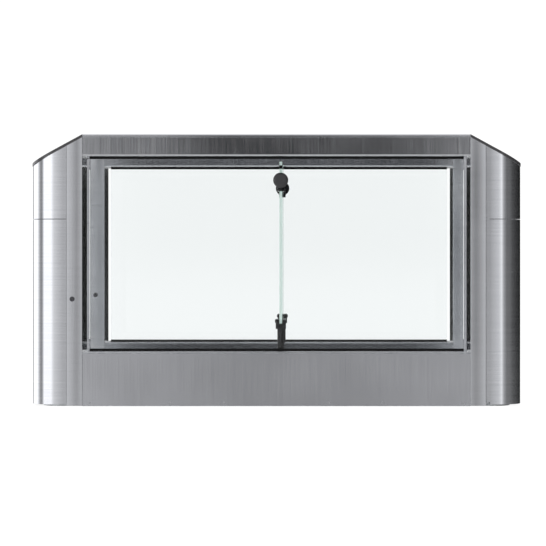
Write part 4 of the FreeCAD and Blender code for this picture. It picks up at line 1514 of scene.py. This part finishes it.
# ---- Studio ---------------------------------------------------------------------------------
@dataclass
class Studio:
    """Camera, pale floor and the soft boxes that a reflection sees.

    Bearings are degrees round the horizon from -Y, towards +X, each with a grey level. The spans
    are parts of the unit direction of a ray, and a part fades in or out over its span.
    """

    distance: float = 7.0
    camera_x: float = 0.083
    camera_z: float = 0.537
    frame_width: float = 2.007096
    near_face: float = -0.485
    shift: Point = (-0.0476, -0.0236)
    sensor_mm: float = 36.0
    floor_reach: float = 40.0
    floor_glow: float = 0.93
    surround: float = 1.075
    strength: float = 1.75
    rise_span: Point = (0.1, 0.25)
    horizon_span: Point = (-0.025, 0.015)
    carpet_span: Point = (-0.28, -0.13)
    carpet: Point = (0.52, 0.3)
    back_wall_span: Point = (0.85, 0.97)
    back_wall_steepness: Point = (0.047, 0.062)
    doorway_span: Point = (0.02, 0.035)
    ceiling_span: Point = (0.28, 0.5)
    room_span: Point = (0.06, 0.14)
    room: Point = (0.04, 1.3)
    soft_span: Point = (-0.3, 1.0)
    soft: Point = (0.4, 1.3)
    doorway: tuple[float, ...] = (0.5, 0.53, 0.52, 1.0)
    back_wall: tuple[float, ...] = (0.34, 0.34, 0.345, 1.0)
    ceiling: tuple[float, ...] = (0.5, 0.5, 0.51, 1.0)
    left_bearings: tuple[Point, ...] = (
        (-180, 0.0), (-158, 0.004), (-146, 0.4), (-130, 1.0), (-96, 1.0), (-84, 0.5),
        (-76, 0.25), (-68, 0.17), (-61, 0.34), (-53, 1.0), (-36, 1.0))
    low_bearings: tuple[Point, ...] = (
        (-14, 1.0), (-12, 0.68), (-10, 0.37), (-7, 0.28), (-6.2, 0.16), (-5, 0.05),
        (-1, 0.015), (1, 0.01), (4, 0.025), (6, 0.07), (7.4, 0.29), (9, 0.42), (10.5, 0.56),
        (15, 0.85))
    high_bearings: tuple[Point, ...] = (
        (-22, 1.2), (-14, 1.0), (-11, 0.8), (-9, 0.6), (-6.6, 0.54), (-4.5, 0.33), (0, 0.24),
        (3, 0.28), (5, 0.46), (7, 0.5), (9, 0.62), (11, 0.9), (15, 1.0))
    floor_bearings: tuple[Point, ...] = (
        (-16.5, 1.0), (-13, 0.8), (-11, 0.55), (-10, 0.42), (-8, 0.34), (-6.4, 0.27),
        (0, 0.21), (4.5, 0.23), (6.2, 0.28), (8.2, 0.36), (9.2, 0.42), (10.5, 0.57),
        (12, 0.72), (15, 0.85))
    right_bearings: tuple[Point, ...] = (
        (18, 0.6), (25, 0.28), (39, 0.095), (56, 0.085), (75, 0.036), (98, 0.02),
        (158, 0.004))

    def build_camera(self) -> None:
        """Make the camera, square to the lane's side."""
        data = bpy.data.cameras.new("lane_camera")
        data.sensor_width = self.sensor_mm
        data.lens = self.sensor_mm * self.distance / self.frame_width
        data.shift_x, data.shift_y = self.shift
        data.clip_start, data.clip_end = 0.1, 100.0
        camera = place_object("lane_camera", data)
        camera.location = (self.camera_x, self.near_face - self.distance, self.camera_z)
        camera.rotation_euler = (math.pi / 2, 0, 0)
        bpy.context.scene.camera = camera

    def build_floor(self) -> None:
        """Make the plain pale floor, large enough to have no edge in view."""
        reach = self.floor_reach
        mesh = bpy.data.meshes.new("studio_floor")
        mesh.from_pydata([(-reach, -reach, 0.0), (reach, -reach, 0.0), (reach, reach, 0.0),
                          (-reach, reach, 0.0)], [], [(0, 1, 2, 3)])
        material = bpy.data.materials.new("floor_white_vinyl")
        tree = cleared(material)
        place = add(tree, "ShaderNodeTexCoord").outputs["Object"]
        grain = add(tree, "ShaderNodeTexNoise", {"Vector": place, "Scale": 60.0})
        tone = fill_ramp(add(tree, "ShaderNodeValToRGB", (grain,)),
                         [(0.3, linear("#686868")), (0.7, linear("#6a6a6a"))])
        matt = add(tree, "ShaderNodeBsdfDiffuse", (tone,))
        glow = add(tree, "ShaderNodeEmission", (WHITE, self.floor_glow))
        add(tree, "ShaderNodeOutputMaterial", (add(tree, "ShaderNodeAddShader", (matt, glow)),))
        mesh.materials.append(material)
        floor = place_object("studio_floor", mesh)
        floor.visible_glossy = floor.visible_transmission = False

    def mirrored(self, tree: Tree, way: Node, steep: Node) -> Socket:
        """Colour that a mirror sees each way: rings of soft boxes, carpet, walls and ceiling.

        Args:
            tree: World's tree.
            way: Direction's three parts.
            steep: Upright part of the direction, without its sign.

        Returns:
            The colour.
        """
        across, along, up = way.outputs
        back = add(tree, "ShaderNodeMath", (along, -1.0), operation="MULTIPLY")
        bearing = add(tree, "ShaderNodeMath", (across, back), operation="ARCTAN2")
        around = add(tree, "ShaderNodeMapRange", (bearing, -math.pi, math.pi))
        low, high, floor = (
            fill_ramp(add(tree, "ShaderNodeValToRGB", (around,)),
                      [((degrees + 180.0) / 360.0, (level, level, level * 1.02, 1.0))
                       for degrees, level in (*self.left_bearings, *middle,
                                              *self.right_bearings)])
            for middle in (self.low_bearings, self.high_bearings, self.floor_bearings))
        ease = {"interpolation_type": "SMOOTHSTEP"}
        rise = add(tree, "ShaderNodeMapRange", (up, *self.rise_span), **ease)
        seen = add(tree, "ShaderNodeMix", {0: rise, 6: low, 7: high}, data_type="RGBA")
        horizon = add(tree, "ShaderNodeMapRange", (up, *self.horizon_span), **ease)
        seen = add(tree, "ShaderNodeMix", {0: horizon, 6: floor, 7: seen.outputs[2]},
                   data_type="RGBA")
        fall = add(tree, "ShaderNodeMapRange", (up, *self.carpet_span, 1.0, 0.0), **ease)
        carpet = add(tree, "ShaderNodeMapRange", (across, -1.0, 1.0, *self.carpet))
        behind = add(tree, "ShaderNodeMapRange", (along, *self.back_wall_span))
        clear = add(tree, "ShaderNodeMapRange", (steep, *self.back_wall_steepness))
        rear = add(tree, "ShaderNodeMath", (behind, clear), operation="MULTIPLY")
        aside = add(tree, "ShaderNodeMath", (across,), operation="ABSOLUTE")
        narrow = add(tree, "ShaderNodeMapRange", (aside, *self.doorway_span, 1.0, 0.0))
        ahead = add(tree, "ShaderNodeMath", (along, 0.0), operation="GREATER_THAN")
        doorway = add(tree, "ShaderNodeMath", (narrow, ahead), operation="MULTIPLY")
        zenith = add(tree, "ShaderNodeMapRange", (up, *self.ceiling_span), **ease)
        for share, colour in ((fall, carpet), (rear, self.back_wall), (doorway, self.doorway),
                              (zenith, self.ceiling)):
            seen = add(tree, "ShaderNodeMix", {0: share, 6: seen.outputs[2], 7: colour},
                       data_type="RGBA")
        return seen.outputs[2]

    def build_light(self) -> None:
        """Make the white surround, and the ring of soft boxes for reflections."""
        world = bpy.data.worlds.new("soft_boxes")
        bpy.context.scene.world = world
        tree = cleared(world)
        world.cycles.sampling_method = "NONE"
        way = add(tree, "ShaderNodeSeparateXYZ",
                  (add(tree, "ShaderNodeTexCoord").outputs["Generated"],))
        up = way.outputs[2]
        steep = add(tree, "ShaderNodeMath", (up,), operation="ABSOLUTE")
        again = add(tree, "ShaderNodeMapRange", (steep, *self.room_span, *self.room))
        soft_rise = add(tree, "ShaderNodeMapRange", (up, *self.soft_span, *self.soft))
        boxes, room, soft, plain = (
            add(tree, "ShaderNodeBackground", light)
            for light in ((self.mirrored(tree, way, steep), self.strength), (WHITE, again),
                          (WHITE, soft_rise), (WHITE, self.surround)))
        depths = add(tree, "ShaderNodeLightPath").outputs
        once, twice, scattered = (
            add(tree, "ShaderNodeMath", (depths[name], least), operation="GREATER_THAN")
            for name, least in (("Glossy Depth", 0.5), ("Glossy Depth", 1.5),
                                ("Diffuse Depth", 0.5)))
        ringed = add(tree, "ShaderNodeMixShader", (twice, boxes, room))
        lit = add(tree, "ShaderNodeMixShader", (scattered, plain, soft))
        add(tree, "ShaderNodeOutputWorld", (add(tree, "ShaderNodeMixShader",
                                                (once, lit, ringed)),))

    def build(self) -> None:
        """Make the whole studio."""
        bpy.context.scene.view_settings.view_transform = "Standard"
        self.build_camera()
        self.build_floor()
        self.build_light()


# ---- The gate -------------------------------------------------------------------------------
def corners(box: tuple[Vector, Vector]) -> list[list[float]]:
    """Two corners as plain lists of numbers."""
    return [[float(value) for value in corner] for corner in box]


def main() -> None:
    """Build the gate around its frame."""
    logging.basicConfig(level=logging.INFO, format="%(name)s: %(message)s")
    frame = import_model()
    Studio().build()
    for cabinet in CABINETS:
        for end in ENDS:
            Tower(cabinet, end).build()
        Beam(cabinet).build()
        FixedPane(cabinet).build()
        Leaf(cabinet).build()
        LeafFixings(cabinet).build()
        SidePanelScrews(cabinet).build()
        Drive(cabinet).build()
    softened = SoftenedNodes(frame["nodes"])
    for cabinet in CABINETS:
        for node, width in (("leaf_clamp", 1.2), ("leaf_hinge", 1.0)):
            softened.build(f"{cabinet}_{node}", f"{cabinet}_{node}_milled", Finishes.HARDWARE,
                           width)
    for node, finish, width in (
            ("pivot_arms", Finishes.HARDWARE, 0.8), ("base_plates", Finishes.ZINC, 0.8),
            ("drive_brackets", Finishes.ZINC, 0.6), ("reader_modules", Finishes.ABS, 2.5),
            ("control_boxes", Finishes.ABS, 2.0), ("power_supplies", Finishes.MODULE, 1.0),
            ("cable_grommets", Finishes.RUBBER, 0.8), ("door_pivots", Finishes.ZINC, 0.4)):
        softened.build(node, f"{node}_softened", finish, width)
    CarriedNodes(frame["nodes"]).dress()


if __name__ == "__main__":
    main()
